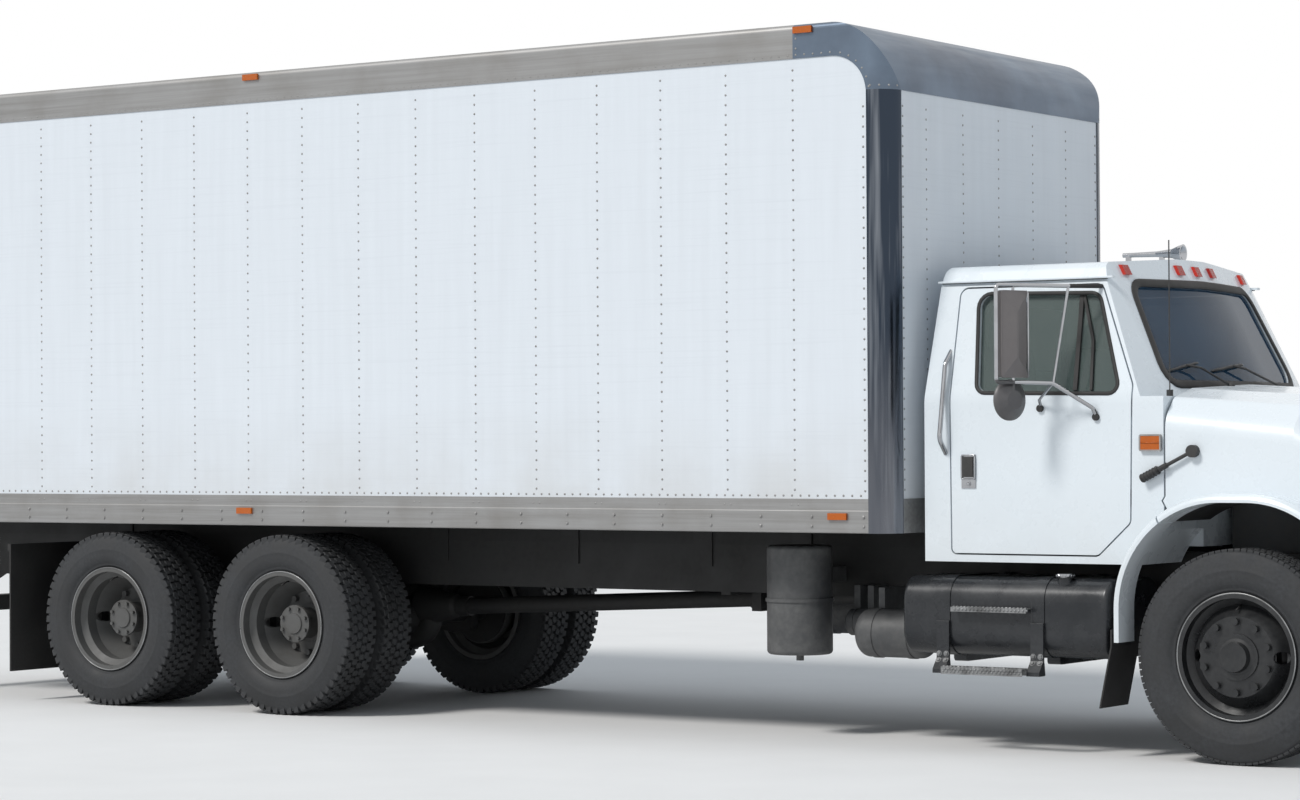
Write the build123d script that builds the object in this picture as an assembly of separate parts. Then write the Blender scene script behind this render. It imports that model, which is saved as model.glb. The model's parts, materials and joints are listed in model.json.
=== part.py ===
from build123d import *
import os
from math import cos, radians, sin, sqrt, tan

# Box truck: a conventional bonneted cab on a tandem-drive chassis, with a sheet-and-post van body.
# Millimetres. +X is forward, +Y is left, +Z is up. The origin is on the ground, below the middle of the truck.

# Driving dimensions of the whole truck
BODY_LENGTH = 7315.0        # van body, front face to rear face
NOSE_LENGTH = 2810.0        # body front face to bumper front face
REAR_REACH = 62.0           # rear bumper and hinges behind the body
BODY_HALF_WIDTH = 1219.0
BODY_BOTTOM = 1070.0
BODY_TOP = 3655.0
X_BUMPER = (BODY_LENGTH + NOSE_LENGTH + REAR_REACH) / 2
X_BODY = X_BUMPER - NOSE_LENGTH
X_REAR = X_BODY - BODY_LENGTH
FRONT_AXLE_X = X_BODY + 1812.0
TANDEM_X = X_BODY - 4658.0
TANDEM_SPREAD = 1320.0
REAR_AXLES_X = (TANDEM_X + TANDEM_SPREAD / 2, TANDEM_X - TANDEM_SPREAD / 2)

# Wheels and tyres
TYRE_RADIUS = 510.0
TYRE_WIDTH = 276.0
TREAD_WIDTH = 226.0
BEAD_RADIUS = 286.0
RIM_WIDTH = 232.0
RIM_FLANGE_RADIUS = 303.0
RIM_FLANGE = 14.0
FIT = 0.3                   # gap between a turning piece and its seat
FRONT_TYRE_Y = 1016.0
DUAL_TYRE_Y = (1088.0, 770.0)
STUD_CIRCLE = 335.0
STUD_COUNT = 10
KINGPIN_Y = 880.0
KINGPIN_RADIUS = 22.0
SPINDLE_RADIUS = 38.0

# Frame
RAIL_HALF_WIDTH = 432.0     # outside of the rails
RAIL_HEIGHT = 257.0
RAIL_TOP = 975.0
RAIL_BOTTOM = RAIL_TOP - RAIL_HEIGHT
RAIL_FLANGE = 88.0
RAIL_THICKNESS = 9.0
RAIL_FRONT = X_BUMPER - 250.0
RAIL_REAR = X_REAR + 320.0

# Cab
CAB_HALF_WIDTH = 1005.0
CAB_BOTTOM = 930.0
CAB_BELT = 1745.0
CAB_RAIL = 2312.0
CAB_ROOF = 2446.0
CAB_BACK = X_BODY + 74.0
CAB_WALL = 45.0
DOOR_WALL = 68.0
DOOR_GAP = 8.0
COWL_FRONT = X_BODY + 1388.0
ARCH_RADIUS = 600.0
ARCH_Z = 630.0
ARCH_LIP_Y = 1170.0

os.makedirs("parts", exist_ok=True)


# Helpers for plain shapes
def box(x0, x1, y0, y1, z0, z1):
    return Pos((x0 + x1) / 2, (y0 + y1) / 2, (z0 + z1) / 2) * Box(abs(x1 - x0), abs(y1 - y0), abs(z1 - z0))


def cyl(axis, centre, radius, low, high):
    """A cylinder along x, y or z. centre holds the two other coordinates, in x, y, z order."""
    a, b = centre
    middle = (low + high) / 2
    turn = {"x": Rot(0, 90, 0), "y": Rot(90, 0, 0), "z": Rot(0, 0, 0)}[axis]
    place = {"x": (middle, a, b), "y": (a, middle, b), "z": (a, b, middle)}[axis]
    return Pos(*place) * turn * Cylinder(radius, high - low)


def lift(axis, a, b, level):
    """A point of a drawing plane in space: the plane is square to axis, at level along it."""
    return {"x": (level, a, b), "y": (a, level, b), "z": (a, b, level)}[axis]


def outline(axis, corners, level):
    """A closed wire of straight sides. A corner is (a, b) or (a, b, radius), where it is rounded."""
    flat = [Vector(c[0], c[1]) for c in corners]
    count = len(corners)
    ends = []
    for i, corner in enumerate(corners):
        radius = corner[2] if len(corner) > 2 else 0
        here, before, after = flat[i], flat[i - 1], flat[(i + 1) % count]
        if not radius:
            ends.append((here, None, here))
            continue
        u = (before - here).normalized()
        v = (after - here).normalized()
        half = radians(u.get_angle(v)) / 2
        run = radius / tan(half)
        middle = here + (u + v).normalized() * (radius / sin(half) - radius)
        ends.append((here + u * run, middle, here + v * run))
    edges = []
    for i, (start, middle, end) in enumerate(ends):
        if middle is not None:
            edges.append(ThreePointArc(*[lift(axis, p.X, p.Y, level) for p in (start, middle, end)]))
        following = ends[(i + 1) % count][0]
        if (following - end).length > 1e-6:
            edges.append(Line(lift(axis, end.X, end.Y, level), lift(axis, following.X, following.Y, level)))
    return Wire(edges)


def prism(axis, corners, low, high):
    """The outline pushed along its axis from low to high."""
    face = Face(outline(axis, corners, low))
    return Solid.extrude(face, Vector(*lift(axis, 0, 0, high - low)))


def ruled(axis, sections):
    """A body through outlines of like corners, each (level, corners), with straight sides between them."""
    return Solid.make_loft([outline(axis, corners, level) for level, corners in sections], ruled=True)


def turned(corners, centre_x, centre_z, start=0.0, angle=360.0):
    """A section of (radius, y) points turned about the cross axis through centre_x, centre_z.
    start is measured from forward, upwards."""
    face = Face(outline("z", corners, 0))
    solid = Solid.revolve(face, angle, Axis((0, 0, 0), (0, 1, 0)))
    return Pos(centre_x, 0, centre_z) * Rot(0, -start, 0) * solid


def mirrored(shape):
    return shape.mirror(Plane.XZ)


def both(shape):
    """The piece and its mirror image on the other side, as separate solids."""
    return [shape, mirrored(shape)]


def joined(pieces):
    first, *rest = pieces
    return first.fuse(*rest) if rest else first


def common(first, *others):
    """The room that all the shapes share."""
    shape = first
    for other in others:
        found = shape.intersect(other)
        if isinstance(found, list):
            found = found[0] if len(found) == 1 else Compound(list(found))
        shape = found
    return shape


def rod(points, radius, bend=0.0):
    """A round bar along points, with its corners rounded to bend."""
    path = FilletPolyline(*points, radius=bend) if bend and len(points) > 2 else Polyline(*points)
    plane = Plane(origin=points[0], z_dir=Vector(*points[1]) - Vector(*points[0]))
    return sweep(plane * Circle(radius), path=path, transition=Transition.ROUND)


def export(name, pieces):
    """Writes one node from a solid or a list of solids."""
    solids = []
    for piece in pieces if isinstance(pieces, (list, tuple)) else [pieces]:
        solids.extend(piece.solids())
    export_step(Compound(children=[]) if not solids else Compound(solids), f"parts/{name}.step")
    return solids


# Tyres and wheels, drawn on the left side and turned about the cross axis
def tyre(centre_x, centre_y):
    half, tread = TYRE_WIDTH / 2, TREAD_WIDTH / 2
    bead = RIM_WIDTH / 2 - RIM_FLANGE - FIT
    section = [
        (BEAD_RADIUS, -bead), (RIM_FLANGE_RADIUS + 4, -bead), (TYRE_RADIUS - 118, -half, 70), (TYRE_RADIUS, -tread, 20),
        (TYRE_RADIUS, tread, 20), (TYRE_RADIUS - 118, half, 70), (RIM_FLANGE_RADIUS + 4, bead), (BEAD_RADIUS, bead),
    ]
    return Pos(0, centre_y, 0) * turned(section, centre_x, TYRE_RADIUS)


RIM_SKIN = 9.0


def rim(centre_x, centre_y, disc_y, face_side):
    """A rim with its dished disc. disc_y is the disc's bolting plane, and face_side is +1 where
    the dish opens towards -Y, so that the disc stands near the outer edge."""
    half = RIM_WIDTH / 2
    seat = BEAD_RADIUS - FIT
    well = seat - 34
    barrel = [
        (seat, -half + RIM_FLANGE), (RIM_FLANGE_RADIUS, -half + 10), (RIM_FLANGE_RADIUS, -half),
        (seat - RIM_SKIN, -half), (seat - RIM_SKIN, -half + 52), (well - RIM_SKIN, -half + 76),
        (well - RIM_SKIN, half - 76), (seat - RIM_SKIN, half - 52), (seat - RIM_SKIN, half),
        (RIM_FLANGE_RADIUS, half), (RIM_FLANGE_RADIUS, half - 10), (seat, half - RIM_FLANGE),
        (seat, half - 48), (well, half - 72), (well, -half + 72), (seat, -half + 48),
    ]
    ring = Pos(0, centre_y, 0) * turned(barrel, centre_x, TYRE_RADIUS)
    return ring


DISC_SKIN = 12.0
DISC_RIM_RADIUS = BEAD_RADIUS - FIT - 34.0
DISC_BORE = 110.0
HAND_HOLE_RADIUS = 30.0
HAND_HOLE_CIRCLE = 215.0


def disc(centre_x, plane_y, foot_y):
    """A wheel disc from its flat bolting plane at plane_y out to where it meets the rim at foot_y."""
    flat = STUD_CIRCLE / 2 + 24
    skin = DISC_SKIN if foot_y < plane_y else -DISC_SKIN
    section = [
        (DISC_BORE, plane_y - skin), (DISC_BORE, plane_y), (flat, plane_y), (DISC_RIM_RADIUS - 1, foot_y + skin),
        (DISC_RIM_RADIUS - 1, foot_y - skin), (flat - 8, plane_y - skin),
    ]
    plate = turned(section, centre_x, TYRE_RADIUS)
    for side in (-1, 1):
        hole = cyl("y", (centre_x + side * HAND_HOLE_CIRCLE, TYRE_RADIUS), HAND_HOLE_RADIUS, 400, 1400)
        plate = plate - hole
    return plate


def nuts(centre_x, y0, y1, circle, count, radius):
    found = []
    for i in range(count):
        angle = radians(360 / count * (i + 0.5))
        place = (centre_x + circle / 2 * cos(angle), TYRE_RADIUS + circle / 2 * sin(angle))
        found.append(cyl("y", place, radius, y0, y1))
    return found


FRONT_DISC_Y = FRONT_TYRE_Y + 104.0
FRONT_HUB_RADIUS = 74.0
DRUM_RADIUS = 205.0
DRUM_INNER_Y = 905.0


def front_wheel():
    """Rim, disc, hub and brake drum of a steered wheel, bored for its spindle."""
    x = FRONT_AXLE_X
    ring = rim(x, FRONT_TYRE_Y, FRONT_DISC_Y, 1)
    plate = disc(x, FRONT_DISC_Y, FRONT_TYRE_Y + 24)
    hub = [
        (SPINDLE_RADIUS + FIT, 940), (130, 940), (130, FRONT_DISC_Y - DISC_SKIN - 14),
        (STUD_CIRCLE / 2 + 22, FRONT_DISC_Y - DISC_SKIN - 14), (STUD_CIRCLE / 2 + 22, FRONT_DISC_Y - DISC_SKIN),
        (DISC_BORE, FRONT_DISC_Y - DISC_SKIN), (DISC_BORE, FRONT_DISC_Y + 8), (88, FRONT_DISC_Y + 8),
        (FRONT_HUB_RADIUS, FRONT_DISC_Y + 12), (FRONT_HUB_RADIUS - 6, FRONT_DISC_Y + 46), (0, FRONT_DISC_Y + 46),
        (0, FRONT_DISC_Y + 2), (SPINDLE_RADIUS + FIT, FRONT_DISC_Y + 2),
    ]
    drum = [
        (130, 1000), (130, 1018), (DRUM_RADIUS - 22, 1018), (DRUM_RADIUS, 1004), (DRUM_RADIUS, DRUM_INNER_Y),
        (DRUM_RADIUS - 14, DRUM_INNER_Y), (DRUM_RADIUS - 14, 1000),
    ]
    core = turned(hub, x, TYRE_RADIUS)
    shell = turned(drum, x, TYRE_RADIUS)
    lugs = nuts(x, FRONT_DISC_Y - 4, FRONT_DISC_Y + 26, STUD_CIRCLE, STUD_COUNT, 17)
    return joined([core, shell, plate, ring, *lugs])


DUAL_PLANE_Y = sum(DUAL_TYRE_Y) / 2
AXLE_TUBE_RADIUS = 62.0
REAR_HUB_RADIUS = 96.0
REAR_HUB_FACE_Y = 1092.0
REAR_DRUM_INNER_Y = 668.0


def rear_wheel(x):
    """Both rims and discs of a twin wheel, with hub and brake drum, bored for the axle tube."""
    outer, inner = DUAL_TYRE_Y
    rings = [rim(x, outer, DUAL_PLANE_Y, -1), rim(x, inner, DUAL_PLANE_Y, 1)]
    plates = [disc(x, DUAL_PLANE_Y, outer - 24), disc(x, DUAL_PLANE_Y, inner + 24)]
    hub = [
        (AXLE_TUBE_RADIUS + FIT, 700), (150, 700), (150, DUAL_PLANE_Y - 60), (DISC_BORE, DUAL_PLANE_Y - 40),
        (DISC_BORE, DUAL_PLANE_Y + 22), (REAR_HUB_RADIUS - 8, DUAL_PLANE_Y + 30), (REAR_HUB_RADIUS - 8, REAR_HUB_FACE_Y - 34),
        (REAR_HUB_RADIUS + 10, REAR_HUB_FACE_Y - 30), (REAR_HUB_RADIUS + 10, REAR_HUB_FACE_Y - 12),
        (REAR_HUB_RADIUS - 36, REAR_HUB_FACE_Y - 8), (REAR_HUB_RADIUS - 40, REAR_HUB_FACE_Y), (0, REAR_HUB_FACE_Y),
        (0, REAR_HUB_FACE_Y - 44), (AXLE_TUBE_RADIUS + FIT, REAR_HUB_FACE_Y - 44),
    ]
    drum = [
        (148, 700), (148, 716), (DRUM_RADIUS - 20, 728), (DRUM_RADIUS, 712), (DRUM_RADIUS, REAR_DRUM_INNER_Y),
        (DRUM_RADIUS - 14, REAR_DRUM_INNER_Y), (DRUM_RADIUS - 14, 704),
    ]
    core = turned(hub, x, TYRE_RADIUS)
    shell = turned(drum, x, TYRE_RADIUS)
    lugs = nuts(x, DUAL_PLANE_Y + 4, DUAL_PLANE_Y + 40, STUD_CIRCLE, STUD_COUNT, 17)
    studs = nuts(x, REAR_HUB_FACE_Y - 14, REAR_HUB_FACE_Y + 6, 2 * REAR_HUB_RADIUS - 14, 8, 10)
    return joined([core, shell, *plates, *rings, *lugs, *studs])


# Front and rear running gear
BEAM_TOP = 468.0
BEAM_DEPTH = 92.0
BEAM_HALF_WIDTH = 46.0
EYE_RADIUS = 34.0
EYE_HALF = 46.0
KNUCKLE_HALF = 112.0
SPRING_Y = 388.0
SPRING_HALF_WIDTH = 38.0
LEAF = 12.0
SPRING_EYE_Z = 640.0
ARM_REACH = 170.0
ARM_Z = 430.0
TIE_ROD_Z = 396.0
STEER_RANGE = 35.0


def front_axle():
    """The dropped beam with its kingpins, drawn on one side and mirrored."""
    x, z, bottom = FRONT_AXLE_X, TYRE_RADIUS, BEAM_TOP - BEAM_DEPTH
    arch = [
        (0, BEAM_TOP), (SPRING_Y + 70, BEAM_TOP), (KINGPIN_Y - 110, z + EYE_HALF - 8, 40), (KINGPIN_Y, z + EYE_HALF - 8),
        (KINGPIN_Y, z - EYE_HALF + 8), (KINGPIN_Y - 90, z - EYE_HALF + 8, 60), (SPRING_Y + 100, bottom, 40), (0, bottom),
    ]
    half = prism("x", arch, x - BEAM_HALF_WIDTH, x + BEAM_HALF_WIDTH)
    half = half - box(x - BEAM_HALF_WIDTH, x - 14, 0, SPRING_Y + 60, bottom + 18, BEAM_TOP - 18)
    half = half - box(x + 14, x + BEAM_HALF_WIDTH, 0, SPRING_Y + 60, bottom + 18, BEAM_TOP - 18)
    eye = cyl("z", (x, KINGPIN_Y), EYE_RADIUS, z - EYE_HALF, z + EYE_HALF)
    half = half - cyl("z", (x, KINGPIN_Y), EYE_RADIUS + 30, 0, 900) + eye
    neck = box(x - 24, x + 24, KINGPIN_Y - 80, KINGPIN_Y, z - EYE_HALF + 12, z + EYE_HALF - 12)
    pin = cyl("z", (x, KINGPIN_Y), KINGPIN_RADIUS, z - KNUCKLE_HALF, z + KNUCKLE_HALF)
    one = joined([half, eye, neck, pin])
    return one.fuse(mirrored(one))


def knuckle():
    """Steering knuckle on the left side: two ears on the kingpin, backing plate, spindle and tie rod arm."""
    x, z = FRONT_AXLE_X, TYRE_RADIUS
    plate_y = KINGPIN_Y + EYE_RADIUS + 6
    gap = EYE_HALF + FIT
    ears = []
    for low, high in ((z - KNUCKLE_HALF, z - gap), (z + gap, z + KNUCKLE_HALF)):
        ears.append(cyl("z", (x, KINGPIN_Y), 38, low, high))
        ears.append(box(x - 38, x + 38, KINGPIN_Y, plate_y + 6, low, high))
    flange = box(x - 60, x + 60, plate_y, plate_y + 12, z - KNUCKLE_HALF, z + KNUCKLE_HALF)
    plate = cyl("y", (x, z), DRUM_RADIUS - 20, plate_y, plate_y + 6)
    spindle = cyl("y", (x, z), SPINDLE_RADIUS, plate_y, FRONT_DISC_Y)
    arm = box(x - ARM_REACH, x, KINGPIN_Y - 18, KINGPIN_Y + 18, ARM_Z - 12, ARM_Z + 12)
    tip = cyl("z", (x - ARM_REACH, KINGPIN_Y), 20, ARM_Z - 12, ARM_Z + 12)
    ball = cyl("z", (x - ARM_REACH, KINGPIN_Y), 10, TIE_ROD_Z - 22, ARM_Z)
    body = joined([*ears, flange, plate, spindle, arm, tip])
    body = body - cyl("z", (x, KINGPIN_Y), KINGPIN_RADIUS + FIT, z - 150, z + 150)
    return body.fuse(ball)


def tie_rod():
    x = FRONT_AXLE_X - ARM_REACH
    bar = cyl("y", (x, TIE_ROD_Z), 17, -KINGPIN_Y + 14, KINGPIN_Y - 14)
    ends = [cyl("z", (x, side * KINGPIN_Y), 24, TIE_ROD_Z - 21, ARM_Z - 12 - FIT) for side in (-1, 1)]
    body = joined([bar, *ends])
    for side in (-1, 1):
        body = body - cyl("z", (x, side * KINGPIN_Y), 10 + FIT, 300, 500)
    return body


def leaf_spring(x0, x1, seat_x, seat_z, end_z, y, leaves, eye=18.0):
    """A stack of leaves over seat_x: the long one reaches its eyes at x0 and x1, the others are shorter."""
    pieces = []
    for i in range(leaves):
        share = 1 - i / (leaves + 0.6)
        low = seat_z + (leaves - 1 - i) * LEAF
        span = []
        for end in (x0, x1):
            tip = seat_x + (end - seat_x) * share
            span.append((tip, low + (end_z - seat_z - (leaves - 1) * LEAF) * share ** 1.7))
        curve = [(span[0][0], span[0][1]), (seat_x, low), (span[1][0], span[1][1])]
        top = [(px, pz + LEAF) for px, pz in curve]
        lower = ThreePointArc(*[(px, y - SPRING_HALF_WIDTH, pz) for px, pz in curve])
        upper = ThreePointArc(*[(px, y - SPRING_HALF_WIDTH, pz) for px, pz in top])
        closed = Wire([lower, Line(lower @ 1, upper @ 1), upper, Line(upper @ 0, lower @ 0)])
        pieces.append(Solid.extrude(Face(closed), Vector(0, 2 * SPRING_HALF_WIDTH, 0)))
    for end in (x0, x1):
        pieces.append(cyl("y", (end, end_z + LEAF / 2), eye, y - SPRING_HALF_WIDTH, y + SPRING_HALF_WIDTH))
    return pieces


def front_springs():
    x0, x1 = FRONT_AXLE_X - 690, FRONT_AXLE_X + 640
    found = []
    for side in (-1, 1):
        y = side * SPRING_Y
        stack = leaf_spring(x0, x1, FRONT_AXLE_X, BEAM_TOP, SPRING_EYE_Z, y, 5)
        clamps = []
        for dx in (-66, 66):
            clamps.append(box(FRONT_AXLE_X + dx - 11, FRONT_AXLE_X + dx + 11, y - 58, y + 58, BEAM_TOP + 60, BEAM_TOP + 78))
            for dy in (-49, 49):
                clamps.append(cyl("z", (FRONT_AXLE_X + dx, y + dy), 9, BEAM_TOP - BEAM_DEPTH - 26, BEAM_TOP + 84))
        seat = box(FRONT_AXLE_X - 80, FRONT_AXLE_X + 80, y - 62, y + 62, BEAM_TOP - BEAM_DEPTH - 18, BEAM_TOP - BEAM_DEPTH)
        hangers = []
        for end in (x0, x1):
            outline_points = [(end - 46, RAIL_BOTTOM), (end + 46, RAIL_BOTTOM), (end + 20, SPRING_EYE_Z - 14, 12), (end - 20, SPRING_EYE_Z - 14, 12)]
            hangers.append(prism("y", outline_points, y - 52, y + 52))
        found.append(joined([*stack, *clamps, seat, *hangers]))
    return found


def rail_frame():
    """Two channel rails and the crossmembers between their webs."""
    pieces = []
    for side in (-1, 1):
        web, inner = side * RAIL_HALF_WIDTH, side * (RAIL_HALF_WIDTH - RAIL_FLANGE)
        solid = box(RAIL_REAR, RAIL_FRONT, web, inner, RAIL_BOTTOM, RAIL_TOP)
        core = box(RAIL_REAR - 1, RAIL_FRONT + 1, side * (RAIL_HALF_WIDTH - RAIL_THICKNESS), side * 100,
                   RAIL_BOTTOM + RAIL_THICKNESS, RAIL_TOP - RAIL_THICKNESS)
        pieces.append(solid - core)
    reach = RAIL_HALF_WIDTH - RAIL_THICKNESS
    for x in CROSSMEMBERS:
        low, high = RAIL_BOTTOM + 110, RAIL_TOP - 40
        channel = box(x - 35, x + 35, -reach, reach, low, high) - box(x - 26, x + 40, -reach - 1, reach + 1, low + 9, high - 9)
        pieces.append(channel)
    return pieces


CROSSMEMBERS = (
    RAIL_FRONT - 60, X_BODY + 420, X_BODY - 900, X_BODY - 2150, TANDEM_X + 330, TANDEM_X - 330, X_BODY - 6000, RAIL_REAR + 60,
)
TRUNNION_Z = 590.0
WALKING_BEAM_Y = 500.0
WALKING_BEAM_HALF = 34.0


def rear_axle(x, through):
    """A drive axle: housing, banjo, pinion nose and backing plates. The forward one has a through shaft."""
    z = TYRE_RADIUS
    tube = cyl("y", (x, z), AXLE_TUBE_RADIUS, -(REAR_HUB_FACE_Y - 46), REAR_HUB_FACE_Y - 46)
    bowl = Pos(x, 0, z) * Rot(90, 0, 0) * Cylinder(196, 150)
    bowl = fillet(bowl.edges(), 52)
    nose = turned_x([(0, 0), (118, 0), (96, 130), (70, 240), (58, 262), (0, 262)], x + 90, z + 60)
    plates = []
    cones = []
    for side in (-1, 1):
        inner = side * (REAR_DRUM_INNER_Y - 6)
        plates.append(cyl("y", (x, z), DRUM_RADIUS - 8, min(inner, inner - side * 6), max(inner, inner - side * 6)))
        cones.append(Pos(x, side * 200, z) * Rot(-90 * side, 0, 0) * Cone(118, AXLE_TUBE_RADIUS + 4, 260))
    pieces = [tube, bowl, nose, *plates, *cones]
    if through:
        pieces.append(turned_x([(0, 0), (64, 0), (50, 180), (0, 180)], x - 190 - 120, z + 60))
    return joined(pieces)


def turned_x(corners, x, z, y=0.0):
    """A section of (radius, x) points turned about a lengthwise axis."""
    face = Face(outline("y", corners, 0))
    solid = Solid.revolve(face, 360, Axis((0, 0, 0), (0, 0, 1)))
    return Pos(x, y, z) * Rot(0, 90, 0) * solid


def rear_suspension():
    """Walking beams on a cross tube, a leaf pack on each saddle, and torque rods to the axles."""
    front, back = REAR_AXLES_X
    low = TYRE_RADIUS - AXLE_TUBE_RADIUS - 66
    found = []
    for side in (-1, 1):
        y = side * WALKING_BEAM_Y
        beam = [
            (back - 84, low + 16, 30), (back + 60, low, 40), (TANDEM_X - 150, TRUNNION_Z - 130, 160), (TANDEM_X + 150, TRUNNION_Z - 130, 160),
            (front - 60, low, 40), (front + 84, low + 16, 30), (front + 84, TYRE_RADIUS, 20), (front - 84, TYRE_RADIUS, 60),
            (TANDEM_X + 130, TRUNNION_Z + 56, 70), (TANDEM_X - 130, TRUNNION_Z + 56, 70), (back + 84, TYRE_RADIUS, 60), (back - 84, TYRE_RADIUS, 20),
        ]
        bar = prism("y", beam, y - WALKING_BEAM_HALF, y + WALKING_BEAM_HALF)
        for x in REAR_AXLES_X:
            bar = bar - cyl("y", (x, TYRE_RADIUS), AXLE_TUBE_RADIUS, -900, 900)
        saddle_y = sorted((y - side * WALKING_BEAM_HALF, side * 340))
        saddle = prism("y", [(TANDEM_X - 120, TRUNNION_Z - 40, 30), (TANDEM_X + 120, TRUNNION_Z - 40, 30), (TANDEM_X + 120, TRUNNION_Z + 62),
                             (TANDEM_X - 120, TRUNNION_Z + 62)], *saddle_y)
        pack = leaf_spring(TANDEM_X - 560, TANDEM_X + 560, TANDEM_X, TRUNNION_Z + 62, RAIL_BOTTOM - 24, side * SPRING_Y, 4, 16.0)
        hangers = []
        for x in (TANDEM_X - 560, TANDEM_X + 560):
            hangers.append(box(x - 50, x + 50, side * (SPRING_Y - 50), side * (SPRING_Y + 50), RAIL_BOTTOM - 46, RAIL_BOTTOM))
        found.append(joined([bar, saddle, *pack, *hangers]))
    tube_end = WALKING_BEAM_Y - WALKING_BEAM_HALF + 8
    tube = cyl("y", (TANDEM_X, TRUNNION_Z - 100), 30, -tube_end, tube_end)
    return joined([*found, tube])


GEARBOX_REAR = X_BODY + 640.0
GEARBOX_Z = 745.0
PINION_Z = TYRE_RADIUS + 60.0
PINION_FACE = 352.0


def gearbox():
    half = [(0, 0), (56, 0), (90, 60), (140, 120), (150, 500), (215, 620), (215, 780), (0, 780)]
    case = turned_x(half, GEARBOX_REAR, GEARBOX_Z)
    return case


def shaft(start, end, radius=48.0, joint=58.0):
    """A tube with a fat joint at each end, between two points."""
    a, b = Vector(*start), Vector(*end)
    along = (b - a).normalized()
    length = (b - a).length
    plane = Plane(origin=a, z_dir=along)
    pieces = [plane * Pos(0, 0, length / 2) * Cylinder(radius, length)]
    for level in (45, length - 45):
        pieces.append(plane * Pos(0, 0, level) * Cylinder(joint, 90))
    return joined(pieces)


def drive_shafts():
    front, back = REAR_AXLES_X
    middle = (X_BODY - 1500, 0, 668)
    pieces = [
        shaft((GEARBOX_REAR, 0, GEARBOX_Z), middle),
        shaft(middle, (front + PINION_FACE, 0, PINION_Z)),
        shaft((front - 310, 0, PINION_Z), (back + PINION_FACE, 0, PINION_Z), 42, 52),
    ]
    hanger = box(middle[0] - 30, middle[0] + 30, -110, 110, middle[2] - 70, middle[2] + 70)
    legs = [box(middle[0] - 30, middle[0] + 30, s * 60, s * (RAIL_HALF_WIDTH - RAIL_FLANGE), 700, 738) for s in (-1, 1)]
    arms = [box(middle[0] - 30, middle[0] + 30, s * (RAIL_HALF_WIDTH - RAIL_FLANGE), s * 420, 700, RAIL_BOTTOM) for s in (-1, 1)]
    return joined([*pieces, hanger, *legs, *arms])


# Cab: every skin is a hull, drawn once and moved inwards by a wall
def grown(corners, distance):
    """The outline with each side moved outwards by distance, and each radius kept concentric."""
    count = len(corners)
    area = sum(corners[i - 1][0] * corners[i][1] - corners[i][0] * corners[i - 1][1] for i in range(count))
    sense = 1 if area > 0 else -1
    sides = []
    for i in range(count):
        a, b = Vector(*corners[i - 1][:2]), Vector(*corners[i][:2])
        along = (b - a).normalized()
        normal = Vector(along.Y, -along.X) * sense
        sides.append((a + normal * distance, along))
    moved = []
    for i in range(count):
        (p, u), (q, v) = sides[i], sides[(i + 1) % count]
        cross = u.X * v.Y - u.Y * v.X
        if abs(cross) < 1e-6:
            point = q
        else:
            gap = q - p
            point = p + u * ((gap.X * v.Y - gap.Y * v.X) / cross)
        radius = corners[i][2] if len(corners[i]) > 2 else 0
        if radius:
            outward = distance if cross * sense > 0 else -distance
            radius = max(radius + outward, 3.0)
            moved.append((point.X, point.Y, radius))
        else:
            moved.append((point.X, point.Y))
    return moved


def shifted(corners, da, db=0.0):
    return [(c[0] + da, c[1] + db, *c[2:]) for c in corners]


def reflected(corners):
    """The half outline of (y, z) points joined to its mirror image."""
    return corners + [(-c[0], *c[1:]) for c in reversed(corners) if c[0] > 0]


RAIL_Y = 866.0
CAB_SECTION = reflected([(0, CAB_BOTTOM), (CAB_HALF_WIDTH, CAB_BOTTOM), (CAB_HALF_WIDTH, CAB_BELT, 260), (RAIL_Y, CAB_RAIL, 60),
                         (RAIL_Y - 52, CAB_ROOF - 36, 62), (0, CAB_ROOF + 10, 2600)])
CAB_SIDE = [
    (CAB_BACK, CAB_BOTTOM), (COWL_FRONT, CAB_BOTTOM), (COWL_FRONT, 1812), (X_BODY + 1270, 2436, 120), (X_BODY + 700, 2466, 2400),
    (CAB_BACK + 30, 2440, 90), (CAB_BACK, CAB_BELT, 900),
]
COWL_TOP = 1744.0
SHIELD_FOOT = 1805.0
SHIELD_RAKE = -0.497
SHIELD_PLAN = [
    (CAB_BACK - 200, -1200), (X_BODY + 1176, -1200), (X_BODY + 1298, -800, 110), (X_BODY + 1408, 0, 2600), (X_BODY + 1298, 800, 110),
    (X_BODY + 1176, 1200), (CAB_BACK - 200, 1200),
]


def cab_hull(inset):
    """The solid inside the cab's skin, moved in by inset."""
    front_view = prism("x", grown(CAB_SECTION, -inset), CAB_BACK - 100, COWL_FRONT + 200)
    side_view = prism("y", grown(CAB_SIDE, -inset), -1400, 1400)
    low, high = CAB_BOTTOM - 300, CAB_ROOF + 300
    foot = shifted(grown(SHIELD_PLAN, -inset / 0.9), SHIELD_RAKE * (low - SHIELD_FOOT))
    slanted = Solid.extrude(Face(outline("z", foot, low)), Vector(SHIELD_RAKE * (high - low), 0, high - low))
    cowl = box(CAB_BACK - 200, COWL_FRONT + 100, -1200, 1200, low, COWL_TOP - inset)
    return common(front_view, side_view, slanted.fuse(cowl))


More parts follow.
